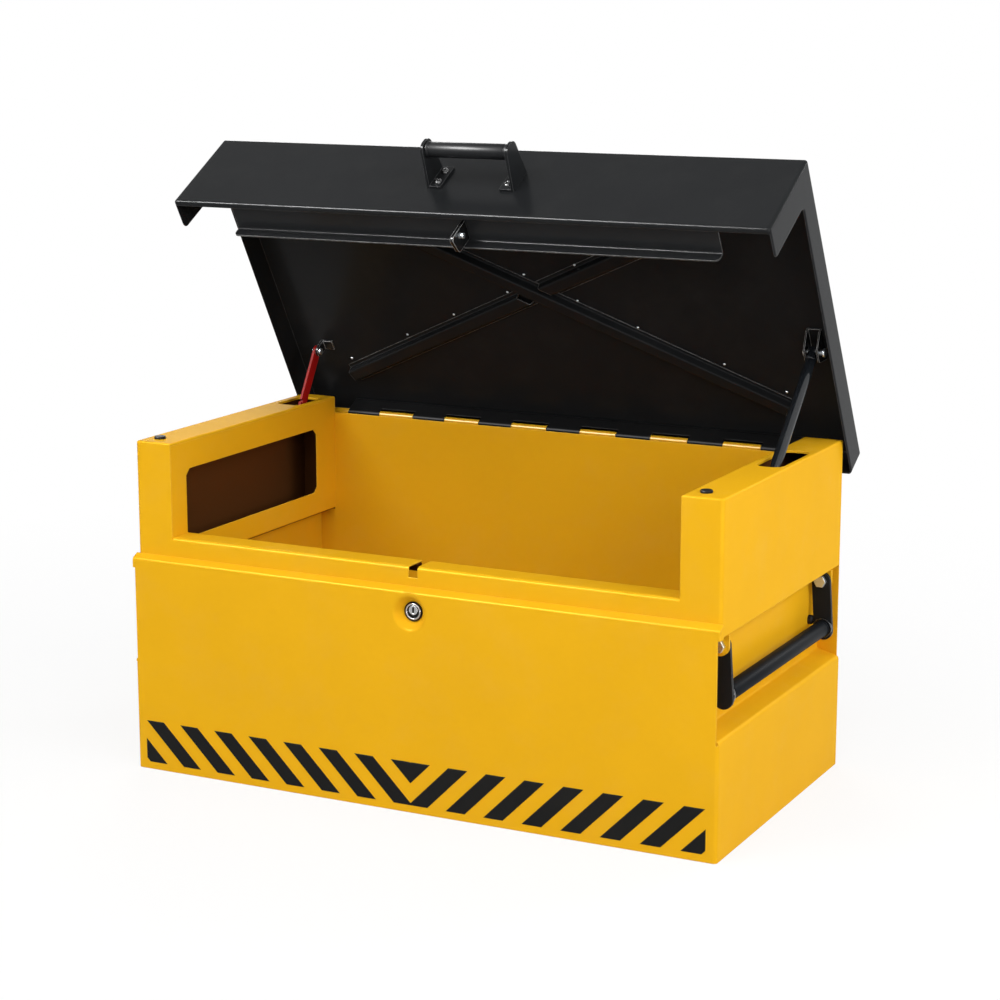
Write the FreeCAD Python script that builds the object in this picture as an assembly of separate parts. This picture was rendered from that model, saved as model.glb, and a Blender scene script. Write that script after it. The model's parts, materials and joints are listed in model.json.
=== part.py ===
import FreeCAD, Part
import math
import os

# A steel tool box with an open, strut-held lid.
# X runs to the right, Y to the back and Z up, in millimetres.
# The origin is the middle of the footprint, on the floor.

V = FreeCAD.Vector

# Driving dimensions of the body
WIDTH = 919.0
DEPTH = 478.0
SHEET = 2.0
BEND = 3.5
FRONT_TOP = 318.0
LEDGE_TOP = 324.0
SETBACK = 12.0
LIP_HEIGHT = 352.0
SHELF_DEPTH = 40.0
SHELF_LIP = 14.0
SHELF_FLANGE = 16.0
PILLAR_TOP = 490.0
CAP_THICKNESS = 4.0
CAP_ROUND = 3.0
EDGE_ROUND = 1.5
PILLAR_WIDTH = 59.5
UPPER_WIDTH = 913.0
REAR_TOP = 464.0
PAN_HEIGHT = 25.0
PAN_CORNER = 4.5
FLOOR_BOLT_SPACING_X = 760.0
FLOOR_BOLT_SPACING_Y = 340.0
FLOOR_BOLT_HOLE_R = 5.5

# Handle recess in each side
RECESS_TOP = 304.0
RECESS_DEPTH = 33.5
RECESS_FLOOR_OUTER = 167.0
RECESS_FLOOR_INNER = 175.0
RECESS_BEND_ROOM = 5.0
PANEL_NOTCH = 3.7
LINING_LAP = 10.0

# Pillar slots and windows
SLOT_WIDTH = 40.0
SLOT_CORNER = 16.0
STAY_SLOT_CORNER = 10.0
STRUT_SLOT_FRONT = 0.5
STRUT_SLOT_REAR = 131.0
STAY_SLOT_FRONT = 135.0
STAY_SLOT_REAR = 210.0
STAY_SLOT_X = -424.0
WINDOW_FRONT = -187.0
WINDOW_REAR = 180.0
WINDOW_BOTTOM = 344.0
WINDOW_TOP = 446.0
WINDOW_CORNER = 9.0
STOP_X = (-434.0, 420.0)
STOP_Y = -197.0
STOP_R = 8.4
STOP_HEIGHT = 3.8
STOP_CHAMFER = 1.0

# Hinge
HINGE_Y = 259.0
HINGE_Z = 462.0
HINGE_PIN_R = 3.0
KNUCKLE_R = 6.0
KNUCKLE_LENGTH = 60.0
KNUCKLE_PITCH = 117.5
KNUCKLE_COUNT = 8
KNUCKLE_GAP = 0.5
LEAF_DROP = 24.0
LEAF_CLEARANCE = 2.0
RUNNING_CLEARANCE = 0.06
OPEN_ANGLE = 59.5

# Lid, with heights as it stands closed
LID_WIDTH = 928.0
LID_TOP = 496.0
LID_FRONT = -238.0
LID_REAR = 281.0
APRON_BOTTOM = 334.0
APRON_LIP = 8.0
APRON_END = 51.0
APRON_TIP_R = 11.0
SKIRT_BOTTOM = 452.0
REAR_SKIRT_BOTTOM = 449.0
LID_FOLD_R = 4.5
SKIRT_CORNER_R = 7.0

# Lid rail and catch
RAIL_LENGTH = 762.0
RAIL_BOTTOM = 354.0
RAIL_REAR = -178.0
RAIL_DROP = 19.0
RAIL_WELD_FLANGE = 20.0
RAIL_CORNER_R = 8.0
CATCH_SLOT_WIDTH = 14.0
CATCH_SLOT_BOTTOM = 336.0
CATCH_THICKNESS = 5.0
CATCH_FRONT = -214.0
CATCH_REAR = -184.0
CATCH_BOTTOM = 308.0
CATCH_HEEL = 318.0
CATCH_CORNER_R = 6.0
STRIKER_Y = -204.5
STRIKER_Z = 331.0
STRIKER_R = 4.0
STRIKER_REACH = 9.0
STRIKER_HEAD_R = 6.5
STRIKER_HEAD = 3.0

# Lid bracing
BRACE_END_X = 368.0
BRACE_REAR_Y = 200.0
BRACE_FRONT_Y = -170.0
BRACE_SHEET = 1.5
BRACE_HEIGHT = 12.0
BRACE_RIB_TOP = 8.0
BRACE_RIB_BASE = 10.0
BRACE_HALF_WIDTH = 17.0
BRACE_GAP = 1.0

# Lid handle on the apron
GRIP_R = 12.0
GRIP_CHAMFER = 2.0
LID_GRIP_STANDOFF = 50.0
LID_GRIP_R = 11.5
LID_GRIP_Z = 416.0
LID_BRACKET_X = 64.0
LID_BRACKET_THICKNESS = 4.0
LID_FOOT_WIDTH = 18.0
LID_FOOT_BOTTOM = 392.0
LID_FOOT_TOP = 441.0
LID_FOOT_THICKNESS = 4.0
LID_SCREW_R = 5.0
LID_SCREW_HEIGHT = 3.5
LID_SCREW_INSET = 12.0
LID_BRACKET_R = 13.5
LID_BRACKET_CORNER = 12.5

# Gas strut on the right
STRUT_X = 428.5
STRUT_PIN_Y = 78.6
STRUT_PIN_Z = 476.0
STRUT_STUD_Y = -129.6
STRUT_STUD_Z = 324.0
STRUT_TUBE_R = 8.0
STRUT_BORE_R = 6.0
STRUT_TUBE_START = 14.0
STRUT_BORE_START = 18.0
STRUT_TUBE_END = 216.0
STRUT_GLAND = 14.0
STRUT_ROD_R = 4.0
STRUT_PISTON_LENGTH = 8.0
STRUT_PISTON_GAP = 0.1
STRUT_EYE_R = 8.5
STRUT_EYE_WIDTH = 12.0
SOCKET_R = 8.0
SOCKET_LENGTH = 24.0
STUD_R = 5.0
STUD_GAP = 0.6
STUD_FLANGE_R = 11.0
STUD_FLANGE = 3.0
BRACKET_WALL = 2.5
BRACKET_INSIDE = 17.0
BRACKET_FRONT = 50.0
BRACKET_REAR = 104.0
BRACKET_NOSE_R = 11.0
PIN_R = 4.0
PIN_HEAD_R = 6.5
PIN_HEAD = 3.0
PIN_SPACER = 4.0

# Safety stay on the left
STAY_X = -414.0
STAY_PIN_Y = 147.0
STAY_PIN_Z = 475.0
STAY_LEAN = 30.5
STAY_THICKNESS = 4.0
STAY_DEPTH = 17.0
STAY_ABOVE = 8.5
STAY_BELOW = 98.0
STAY_TOP_R = 8.0
STAY_FOOT_R = 3.0
STAY_NOTCH = 5.0
STAY_NOTCH_HEIGHT = 4.0
STAY_NOTCH_AT = 86.0
STAY_PIN_R = 3.0
STAY_HEAD_R = 5.0
STAY_HEAD = 2.5
LUG_THICKNESS = 4.0
LUG_HALF = 8.0
LUG_NOSE_R = 7.5
LUG_BASE = 3.0
LUG_BASE_WIDTH = 20.0

# Drop handle in each side recess
PIVOT_X = 444.0
PIVOT_Z = 288.0
DROP_GRIP_X = 449.0
DROP_GRIP_Z = 219.0
ARM_END_Z = 214.5
ARM_R = 14.0
ARM_THICKNESS = 5.0
ARM_INNER_Y = 194.0
TAB_GAP = 0.5
TAB_THICKNESS = 4.0
TAB_CORNER = 13.5
HANDLE_BOLT_R = 5.0
HANDLE_ROD_R = 8.0
COLLAR_LENGTH = 5.0
COLLAR_R = 14.5
HEX_R = 9.0
HEX_HEIGHT = 6.0
BUFFER_R = 7.0
BUFFER_Z = 228.0
BUFFER_GAP = 0.4
BUFFER_CHAMFER = 2.0

# Lock
LOCK_Z = 288.0
DISH_R = 24.0
DISH_EDGE_R = 30.0
DISH_DEPTH = 14.0
DISH_FLOOR_R = 15.0
DISH_BEND = 5.0
BARREL_R = 12.5
BARREL_ROOM = 0.1
BARREL_FLANGE_R = 14.0
BARREL_FLANGE = 1.5
BARREL_LENGTH = 18.0
PLUG_R = 6.75
PLUG_RISE = 2.0
PLUG_PROUD = 0.8
KEYWAY_WIDTH = 1.8
KEYWAY_HEIGHT = 9.0
KEYWAY_DEPTH = 8.0
LOCK_NUT_R = 18.0
LOCK_NUT = 6.0
CAM_GAP = 0.5
CAM_THICKNESS = 4.0
CAM_HUB_R = 9.0
CAM_INNER_R = 47.0
CAM_OUTER_R = 54.0
CAM_ARM_FROM = 38.0
CAM_ARM_TO = 58.0
CAM_FINGER_TO = 83.0
CAM_PARKED = -90.0
CAM_NUT_R = 7.0
CAM_NUT = 4.5

# Positions that follow from the driving dimensions
HALF_WIDTH = WIDTH / 2
HALF_DEPTH = DEPTH / 2
UPPER_HALF = UPPER_WIDTH / 2
PILLAR_INNER = UPPER_HALF - PILLAR_WIDTH
FACE_Y = -HALF_DEPTH + SETBACK
RECESS_WALL_X = HALF_WIDTH - RECESS_DEPTH
CAP_UNDERSIDE = PILLAR_TOP - CAP_THICKNESS
WALL_TOP = RECESS_FLOOR_OUTER - RECESS_BEND_ROOM
LID_UNDERSIDE = LID_TOP - SHEET
SHELF_REAR = FACE_Y + SHELF_DEPTH
HINGE_POINT = V(0, HINGE_Y, HINGE_Z)
TAB_INNER_Y = ARM_INNER_Y + ARM_THICKNESS + TAB_GAP
DISH_FLOOR_Y = -HALF_DEPTH + DISH_DEPTH
BARREL_BACK_Y = DISH_FLOOR_Y + BARREL_LENGTH
PLUG_Z = LOCK_Z + PLUG_RISE
CAM_FRONT_Y = BARREL_BACK_Y + CAM_GAP
FAR = 1000.0
TINY = 1e-6


# Placing flat profiles in space

def on_x(x):
    return lambda point: V(x, point[0], point[1])


def on_y(y):
    return lambda point: V(point[0], y, point[1])


def on_z(z):
    return lambda point: V(point[0], point[1], z)


# Sheet metal and plates

def corner_arc(before, corner, after, radius):
    to_before = (before - corner).normalize()
    to_after = (after - corner).normalize()
    half = to_before.getAngle(to_after) / 2
    middle = (to_before + to_after).normalize()
    centre = corner + middle * (radius / math.sin(half))
    reach = radius / math.tan(half)
    return corner + to_before * reach, centre - middle * radius, corner + to_after * reach


def closed_wire(points, radii):
    """A closed outline of straight runs, with a tangent arc at each corner that has a radius."""
    count = len(points)
    corners = []
    for i, corner in enumerate(points):
        if radii[i] > 0:
            corners.append(corner_arc(points[i - 1], corner, points[(i + 1) % count], radii[i]))
        else:
            corners.append((corner, None, corner))
    edges = []
    for i, (start, middle, end) in enumerate(corners):
        if middle is not None:
            edges.append(Part.Arc(start, middle, end).toShape())
        following = corners[(i + 1) % count][0]
        if (following - end).Length > TINY:
            edges.append(Part.LineSegment(end, following).toShape())
    return Part.Wire(edges)


def plate(points, place, run, radii=0.0):
    """A flat piece: an outline drawn on one plane and pushed along run."""
    if not isinstance(radii, (list, tuple)):
        radii = [radii] * len(points)
    return Part.Face(closed_wire([place(p) for p in points], radii)).extrude(run)


def offset_left(points, distance):
    """The same open run of points, moved to its left."""
    lines = []
    for start, end in zip(points, points[1:]):
        along = (end - start).normalize()
        side = V(-along.y, along.x, 0) * distance
        lines.append((start + side, along))
    moved = [lines[0][0]]
    for (start, along), (after, turned) in zip(lines, lines[1:]):
        gap = after - start
        cross = along.x * turned.y - along.y * turned.x
        step = (gap.x * turned.y - gap.y * turned.x) / cross
        moved.append(start + along * step)
    moved.append(points[-1] + (lines[-1][0] - points[-2]))
    return moved


def sheet_wire(points, place, thickness=SHEET, bend=BEND):
    """The outline of a bent sheet: the points run along one face, with the metal on their left."""
    face = [V(u, v, 0) for u, v in points]
    back = offset_left(face, thickness)
    face_radii = [0.0] * len(face)
    back_radii = [0.0] * len(face)
    for i in range(1, len(face) - 1):
        into = face[i] - face[i - 1]
        out = face[i + 1] - face[i]
        turns_left = into.x * out.y - into.y * out.x > 0
        face_radii[i] = bend + thickness if turns_left else bend
        back_radii[i] = bend if turns_left else bend + thickness
    outline = [place((p.x, p.y)) for p in face + back[::-1]]
    return closed_wire(outline, face_radii + back_radii[::-1])


def folded(points, place, run, thickness=SHEET, bend=BEND):
    """A bent sheet pushed along run."""
    return Part.Face(sheet_wire(points, place, thickness, bend)).extrude(run)


def box(x0, x1, y0, y1, z0, z1):
    return Part.makeBox(x1 - x0, y1 - y0, z1 - z0, V(x0, y0, z0))


def rod_x(radius, x0, x1, y, z):
    return Part.makeCylinder(radius, x1 - x0, V(x0, y, z), V(1, 0, 0))


def rod_y(radius, y0, y1, x, z):
    return Part.makeCylinder(radius, y1 - y0, V(x, y0, z), V(0, 1, 0))


def rod_z(radius, z0, z1, x, y):
    return Part.makeCylinder(radius, z1 - z0, V(x, y, z0), V(0, 0, 1))


def hexagon_y(radius, y0, y1, x, z):
    corners = [(x + radius * math.cos(math.radians(60 * i)), z + radius * math.sin(math.radians(60 * i)))
               for i in range(6)]
    return plate(corners, on_y(y0), V(0, y1 - y0, 0))


def chamfered_ends(solid, size, axis, ends=(True, True)):
    """Break the rims at the ends of a solid that runs along one axis."""
    bounds = solid.BoundBox
    low, high = ((bounds.XMin, bounds.XMax), (bounds.YMin, bounds.YMax), (bounds.ZMin, bounds.ZMax))[axis]
    places = [place for place, wanted in zip((low, high), ends) if wanted]
    rims = [e for e in solid.Edges
            if any(all(abs(v.Point[axis] - place) < TINY for v in e.Vertexes) for place in places)]
    return solid.makeChamfer(size, rims)


def mirrored(shape):
    return shape.mirror(V(0, 0, 0), V(1, 0, 0))


def opened(shape):
    """Swing a lid piece from its closed place to the open pose."""
    shape.rotate(HINGE_POINT, V(1, 0, 0), -OPEN_ANGLE)
    return shape


def opened_point(x, y, z):
    return opened(Part.Vertex(V(x, y, z))).Point


# Body panels

def floor_pan():
    def tray(inset, bottom, top):
        x, y = HALF_WIDTH - inset, HALF_DEPTH - inset
        outline = [(-x, -y), (x, -y), (x, y), (-x, y)]
        return plate(outline, on_z(bottom), V(0, 0, top - bottom), PAN_CORNER)

    pan = tray(SHEET, 0, PAN_HEIGHT).cut(tray(2 * SHEET, SHEET, PAN_HEIGHT + SHEET))
    for side in (-1, 1):
        for end in (-1, 1):
            pan = pan.cut(rod_z(FLOOR_BOLT_HOLE_R, -SHEET, 2 * SHEET,
                                side * FLOOR_BOLT_SPACING_X / 2, end * FLOOR_BOLT_SPACING_Y / 2))
    return pan


def lock_dish():
    profile = [(DISH_EDGE_R, -HALF_DEPTH), (DISH_R, -HALF_DEPTH),
               (DISH_FLOOR_R, DISH_FLOOR_Y), (BARREL_R + BARREL_ROOM, DISH_FLOOR_Y)]
    wire = sheet_wire(profile[::-1], lambda p: V(p[0], p[1], LOCK_Z), SHEET, DISH_BEND)
    return Part.Face(wire).revolve(V(0, 0, LOCK_Z), V(0, 1, 0), 360)


def wrapped_wall():
    """The lower front and sides, bent round the front corners from one sheet."""
    rear = HALF_DEPTH - SHEET
    plan = [(-HALF_WIDTH, rear), (-HALF_WIDTH, -HALF_DEPTH), (HALF_WIDTH, -HALF_DEPTH), (HALF_WIDTH, rear)]
    return folded(plan, on_z(0), V(0, 0, WALL_TOP))


def front_plate():
    """The front above the wrapped wall, with its ledge and the narrow stretch beside the recesses."""
    profile = [(FACE_Y, LEDGE_TOP), (-HALF_DEPTH, FRONT_TOP), (-HALF_DEPTH, WALL_TOP)]
    panel = folded(profile, on_x(-HALF_WIDTH), V(WIDTH, 0, 0))
    panel = panel.cut(box(-HALF_WIDTH, HALF_WIDTH, FACE_Y, 0, 0, FAR))
    notch = box(HALF_WIDTH - PANEL_NOTCH, FAR, -FAR, 0, WALL_TOP, RECESS_TOP)
    panel = panel.cut([notch, mirrored(notch)])
    return panel.cut(rod_y(DISH_EDGE_R, -FAR, 0, 0, LOCK_Z))


def ledge_end():
    """The small plate that closes the right end of the ledge."""
    inner_y = -HALF_DEPTH + SHEET
    outline = [(inner_y, RECESS_TOP), (FACE_Y, RECESS_TOP), (FACE_Y, LEDGE_TOP - SHEET),
               (inner_y, FRONT_TOP - SHEET)]
    return plate(outline, on_x(UPPER_HALF), V(HALF_WIDTH - UPPER_HALF, 0, 0))


def right_recess():
    """The recess floor and wall, bent from one sheet."""
    profile = [(HALF_WIDTH, WALL_TOP), (HALF_WIDTH, RECESS_FLOOR_OUTER), (RECESS_WALL_X, RECESS_FLOOR_INNER),
               (RECESS_WALL_X, RECESS_TOP)]
    return folded(profile, on_y(-HALF_DEPTH + SHEET), V(0, DEPTH - 2 * SHEET, 0))


def body_shell():
    end, recess = ledge_end(), right_recess()
    pieces = [front_plate(), lock_dish(), end, mirrored(end), recess, mirrored(recess)]
    return wrapped_wall().fuse(pieces).removeSplitter()


def front_strip():
    """The upright strip between the pillars and the shelf behind it, bent from one sheet."""
    profile = [(SHELF_REAR, LIP_HEIGHT), (FACE_Y, LIP_HEIGHT), (FACE_Y, RECESS_TOP)]
    strip = folded(profile, on_x(-PILLAR_INNER), V(2 * PILLAR_INNER, 0, 0))
    half = CATCH_SLOT_WIDTH / 2
    return strip.cut([box(-half, half, -FAR, FAR, CATCH_SLOT_BOTTOM, FAR),
                      rod_y(LOCK_NUT_R + SHEET, -FAR, FAR, 0, LOCK_Z)])


def pillar_slab(bottom, top, inner, rear):
    """A flat piece that fits a right pillar's plan, with its bent front corner."""
    outline = [(inner, FACE_Y), (UPPER_HALF, FACE_Y), (UPPER_HALF, rear), (inner, rear)]
    return plate(outline, on_z(bottom), V(0, 0, top - bottom), [0, BEND + SHEET, 0, 0])


def rounded_rim(solid, level, radius):
    """Round the edges of a solid that lie flat at one level."""
    rim = [e for e in solid.Edges if e.BoundBox.ZLength < TINY and abs(e.BoundBox.ZMin - level) < TINY]
    return solid.makeFillet(radius, rim)


def right_pillar(slot_x, slot_front, slot_rear, corner):
    """A pillar's front and outer side in one bent sheet, its slotted cap, and the recess ceiling."""
    rear = HALF_DEPTH - SHEET
    plan = [(PILLAR_INNER, FACE_Y), (UPPER_HALF, FACE_Y), (UPPER_HALF, rear)]
    wall = folded(plan, on_z(RECESS_TOP + SHEET), V(0, 0, CAP_UNDERSIDE - RECESS_TOP - SHEET))
    cap = rounded_rim(pillar_slab(CAP_UNDERSIDE, PILLAR_TOP, PILLAR_INNER, HALF_DEPTH), PILLAR_TOP, CAP_ROUND)
    left, right = slot_x - SLOT_WIDTH / 2, slot_x + SLOT_WIDTH / 2
    slot = [(left, slot_front), (right, slot_front), (right, slot_rear), (left, slot_rear)]
    cap = cap.cut(plate(slot, on_z(CAP_UNDERSIDE - SHEET), V(0, 0, CAP_THICKNESS + 2 * SHEET), corner))
    ceiling = pillar_slab(RECESS_TOP, RECESS_TOP + SHEET, RECESS_WALL_X - SHEET, rear)
    ceiling = rounded_rim(ceiling, RECESS_TOP, EDGE_ROUND)
    return wall.fuse([cap, ceiling]).removeSplitter()


def lip_shelf():
    """The angle that stiffens the shelf's back edge, in two halves beside the catch slot."""
    top = LIP_HEIGHT - SHEET
    profile = [(SHELF_REAR, top - SHELF_LIP), (SHELF_REAR, top), (SHELF_REAR - SHELF_FLANGE, top)]
    lip = folded(profile, on_x(-PILLAR_INNER), V(2 * PILLAR_INNER, 0, 0))
    half = CATCH_SLOT_WIDTH / 2
    return lip.cut(box(-half, half, -FAR, FAR, 0, FAR))


def rear_panel():
    outline = [(-HALF_WIDTH, 0), (HALF_WIDTH, 0), (HALF_WIDTH, WALL_TOP), (UPPER_HALF, WALL_TOP),
               (UPPER_HALF, CAP_UNDERSIDE), (PILLAR_INNER, CAP_UNDERSIDE), (PILLAR_INNER, REAR_TOP),
               (-PILLAR_INNER, REAR_TOP), (-PILLAR_INNER, CAP_UNDERSIDE), (-UPPER_HALF, CAP_UNDERSIDE),
               (-UPPER_HALF, WALL_TOP), (-HALF_WIDTH, WALL_TOP)]
    panel = plate(outline, on_y(HALF_DEPTH - SHEET), V(0, SHEET, 0))
    corners = [e for e in panel.Edges
               if e.BoundBox.ZLength > PILLAR_WIDTH and e.BoundBox.YMin > HALF_DEPTH - TINY
               and abs(e.BoundBox.XMin) > PILLAR_INNER + TINY]
    return panel.makeFillet(EDGE_ROUND, corners)


def right_pillar_lining():
    foot = RECESS_TOP + SHEET
    profile = [(RECESS_WALL_X + LINING_LAP, foot), (PILLAR_INNER, foot), (PILLAR_INNER, CAP_UNDERSIDE)]
    start = FACE_Y + SHEET
    lining = folded(profile[::-1], on_y(start), V(0, HALF_DEPTH - SHEET - start, 0))
    cut = WINDOW_CORNER
    window = [(WINDOW_FRONT, WINDOW_BOTTOM + cut), (WINDOW_FRONT + cut, WINDOW_BOTTOM),
              (WINDOW_REAR - cut, WINDOW_BOTTOM), (WINDOW_REAR, WINDOW_BOTTOM + cut),
              (WINDOW_REAR, WINDOW_TOP - cut), (WINDOW_REAR - cut, WINDOW_TOP),
              (WINDOW_FRONT + cut, WINDOW_TOP), (WINDOW_FRONT, WINDOW_TOP - cut)]
    return lining.cut(plate(window, on_x(PILLAR_INNER - SHEET), V(3 * SHEET, 0, 0)))


def rubber_stops():
    stops = [rod_z(STOP_R, PILLAR_TOP, PILLAR_TOP + STOP_HEIGHT, x, STOP_Y) for x in STOP_X]
    return Part.makeCompound([chamfered_ends(stop, STOP_CHAMFER, 2, (False, True)) for stop in stops])


# Hinge

def knuckle(centre, length, bore):
    start = centre - length / 2
    tube = rod_x(KNUCKLE_R, start, start + length, HINGE_Y, HINGE_Z)
    return tube.cut(rod_x(bore, start, start + length, HINGE_Y, HINGE_Z))


def body_knuckle_centres():
    middle = (KNUCKLE_COUNT - 1) / 2
    return [(i - middle) * KNUCKLE_PITCH for i in range(KNUCKLE_COUNT)]


def lid_knuckle_centres():
    centres = body_knuckle_centres()
    return [(a + b) / 2 for a, b in zip(centres, centres[1:])]


def body_hinge_leaf():
    first, last = body_knuckle_centres()[0], body_knuckle_centres()[-1]
    start = first - KNUCKLE_LENGTH / 2
    length = last - first + KNUCKLE_LENGTH
    top = HINGE_Z - KNUCKLE_R + SHEET
    edge = HINGE_Y - KNUCKLE_R - LEAF_CLEARANCE
    profile = [(HALF_DEPTH, top - LEAF_DROP), (HALF_DEPTH, top), (edge, top)]
    leaf = folded(profile[::-1], on_x(start), V(length, 0, 0))
    for centre in body_knuckle_centres():
        low, high = centre - KNUCKLE_LENGTH / 2, centre + KNUCKLE_LENGTH / 2
        finger = box(low, high, edge, HINGE_Y, top - SHEET, top)
        finger = finger.cut(rod_x(HINGE_PIN_R, low, high, HINGE_Y, HINGE_Z))
        leaf = leaf.fuse([finger, knuckle(centre, KNUCKLE_LENGTH, HINGE_PIN_R)])
    return leaf.removeSplitter()


def lid_hinge_leaf():
    gap_length = KNUCKLE_PITCH - KNUCKLE_LENGTH - 2 * KNUCKLE_GAP
    centres = lid_knuckle_centres()
    start = centres[0] - gap_length / 2
    length = centres[-1] - centres[0] + gap_length
    front = HINGE_Y - KNUCKLE_R
    foot = HINGE_Z + KNUCKLE_R + LEAF_CLEARANCE
    profile = [(front, foot), (front, LID_UNDERSIDE), (LID_REAR - 2 * SHEET, LID_UNDERSIDE)]
    leaf = folded(profile[::-1], on_x(start), V(length, 0, 0))
    for centre in centres:
        low, high = centre - gap_length / 2, centre + gap_length / 2
        finger = box(low, high, front, front + SHEET, HINGE_Z, foot)
        leaf = leaf.fuse([finger, knuckle(centre, gap_length, HINGE_PIN_R + RUNNING_CLEARANCE)])
    return leaf.removeSplitter()


def hinge_pin():
    reach = body_knuckle_centres()[-1] + KNUCKLE_LENGTH / 2
    return rod_x(HINGE_PIN_R, -reach, reach, HINGE_Y, HINGE_Z)


# Lid, built closed

def lid_panel():
    half = LID_WIDTH / 2
    apron_rear = LID_FRONT + APRON_END
    outline = [(LID_FRONT, APRON_BOTTOM), (apron_rear, APRON_BOTTOM), (apron_rear, SKIRT_BOTTOM),
               (LID_REAR, REAR_SKIRT_BOTTOM), (LID_REAR, LID_TOP), (LID_FRONT, LID_TOP)]
    radii = [LID_FOLD_R, APRON_TIP_R, SKIRT_CORNER_R, 0, 0, 0]
    block = plate(outline, on_x(-half), V(LID_WIDTH, 0, 0), radii)

    def is_fold(edge):
        bounds = edge.BoundBox
        on_top = bounds.ZMin > LID_TOP - TINY
        upright = bounds.XLength < TINY and bounds.YLength < TINY
        at_end = abs(bounds.YMin - LID_FRONT) < TINY or abs(bounds.YMin - LID_REAR) < TINY
        return on_top or (upright and at_end)

    block = block.makeFillet(LID_FOLD_R, [e for e in block.Edges if is_fold(e)])
    lip_rear = LID_FRONT + APRON_LIP
    inner_front = LID_FRONT + SHEET
    inside = [(lip_rear, 0), (lip_rear, APRON_BOTTOM + SHEET), (inner_front, APRON_BOTTOM + SHEET),
              (inner_front, LID_UNDERSIDE), (LID_REAR - SHEET, LID_UNDERSIDE), (LID_REAR - SHEET, 0)]
    hollow = plate(inside, on_x(-half + SHEET), V(LID_WIDTH - 2 * SHEET, 0, 0))
    return block.cut(hollow)


def lid_rail():
    half = RAIL_LENGTH / 2
    front = LID_FRONT + 2 * SHEET
    top = RAIL_BOTTOM + SHEET
    profile = [(RAIL_REAR, top - RAIL_DROP), (RAIL_REAR, top), (front, top), (front, top + RAIL_WELD_FLANGE)]
    rail = folded(profile, on_x(-half), V(RAIL_LENGTH, 0, 0))
    low_corners = [e for e in rail.Edges
                   if e.BoundBox.YLength > SHEET / 2 and e.BoundBox.ZMax < top - RAIL_DROP + TINY
                   and e.BoundBox.XLength < TINY]
    return rail.makeFillet(RAIL_CORNER_R, low_corners)


def lid_catch():
    outline = [(CATCH_FRONT, RAIL_BOTTOM), (CATCH_FRONT, CATCH_BOTTOM), (CATCH_REAR, CATCH_HEEL),
               (CATCH_REAR, RAIL_BOTTOM)]
    half = CATCH_THICKNESS / 2
    catch = plate(outline, on_x(-half), V(CATCH_THICKNESS, 0, 0), [0, CATCH_CORNER_R, CATCH_CORNER_R, 0])
    return catch.cut(rod_x(STRIKER_R, -half, half, STRIKER_Y, STRIKER_Z))


def striker_pin():
    face = -CATCH_THICKNESS / 2
    pin = rod_x(STRIKER_R, face, STRIKER_REACH, STRIKER_Y, STRIKER_Z)
    head = rod_x(STRIKER_HEAD_R, face - STRIKER_HEAD, face, STRIKER_Y, STRIKER_Z)
    return pin.fuse(head).removeSplitter()


def brace_strip(start, end):
    """A hat-section strip under the lid, from one point to the other."""
    run = end - start
    profile = [(-BRACE_HALF_WIDTH, 0), (-BRACE_RIB_BASE, 0), (-BRACE_RIB_TOP, -BRACE_HEIGHT),
               (BRACE_RIB_TOP, -BRACE_HEIGHT), (BRACE_RIB_BASE, 0), (BRACE_HALF_WIDTH, 0)]
    strip = folded(profile[::-1], on_x(0), V(run.Length, 0, 0), BRACE_SHEET, BRACE_SHEET)
    strip.rotate(V(0, 0, 0), V(0, 0, 1), math.degrees(math.atan2(run.y, run.x)))
    strip.translate(start)
    return strip


def brace_ends():
    left_rear = V(-BRACE_END_X, BRACE_REAR_Y, LID_UNDERSIDE)
    right_front = V(BRACE_END_X, BRACE_FRONT_Y, LID_UNDERSIDE)
    left_front = V(-BRACE_END_X, BRACE_FRONT_Y, LID_UNDERSIDE)
    right_rear = V(BRACE_END_X, BRACE_REAR_Y, LID_UNDERSIDE)
    return left_rear, right_front, left_front, right_rear


def long_brace():
    _, _, left_front, right_rear = brace_ends()
    return brace_strip(left_front, right_rear)


def short_braces():
    left_rear, right_front, left_front, right_rear = brace_ends()
    strip = brace_strip(left_rear, right_front)
    run = right_rear - left_front
    half = BRACE_HALF_WIDTH + BRACE_GAP
    keep_out = box(0, run.Length, -half, half, -2 * BRACE_HEIGHT, BRACE_HEIGHT)
    keep_out.rotate(V(0, 0, 0), V(0, 0, 1), math.degrees(math.atan2(run.y, run.x)))
    keep_out.translate(left_front)
    return strip.cut(keep_out)


def right_lid_bracket():
    """The right foot and side plate of the lid handle, bent from one strip."""
    grip_y = LID_FRONT - LID_GRIP_STANDOFF
    outline = [(LID_FRONT, LID_FOOT_BOTTOM), (LID_FRONT, LID_FOOT_TOP),
               (grip_y - LID_BRACKET_R, LID_GRIP_Z + LID_BRACKET_R),
               (grip_y - LID_BRACKET_R, LID_GRIP_Z - LID_BRACKET_R)]
    side = plate(outline, on_x(LID_BRACKET_X), V(LID_BRACKET_THICKNESS, 0, 0),
                 [0, 0, LID_BRACKET_CORNER, LID_BRACKET_CORNER])
    foot = box(LID_BRACKET_X - LID_FOOT_WIDTH, LID_BRACKET_X, LID_FRONT - LID_FOOT_THICKNESS, LID_FRONT,
               LID_FOOT_BOTTOM, LID_FOOT_TOP)
    return side.fuse(foot).removeSplitter()


def lid_grip():
    grip = rod_x(LID_GRIP_R, -LID_BRACKET_X, LID_BRACKET_X, LID_FRONT - LID_GRIP_STANDOFF, LID_GRIP_Z)
    return chamfered_ends(grip, GRIP_CHAMFER, 0)


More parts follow.
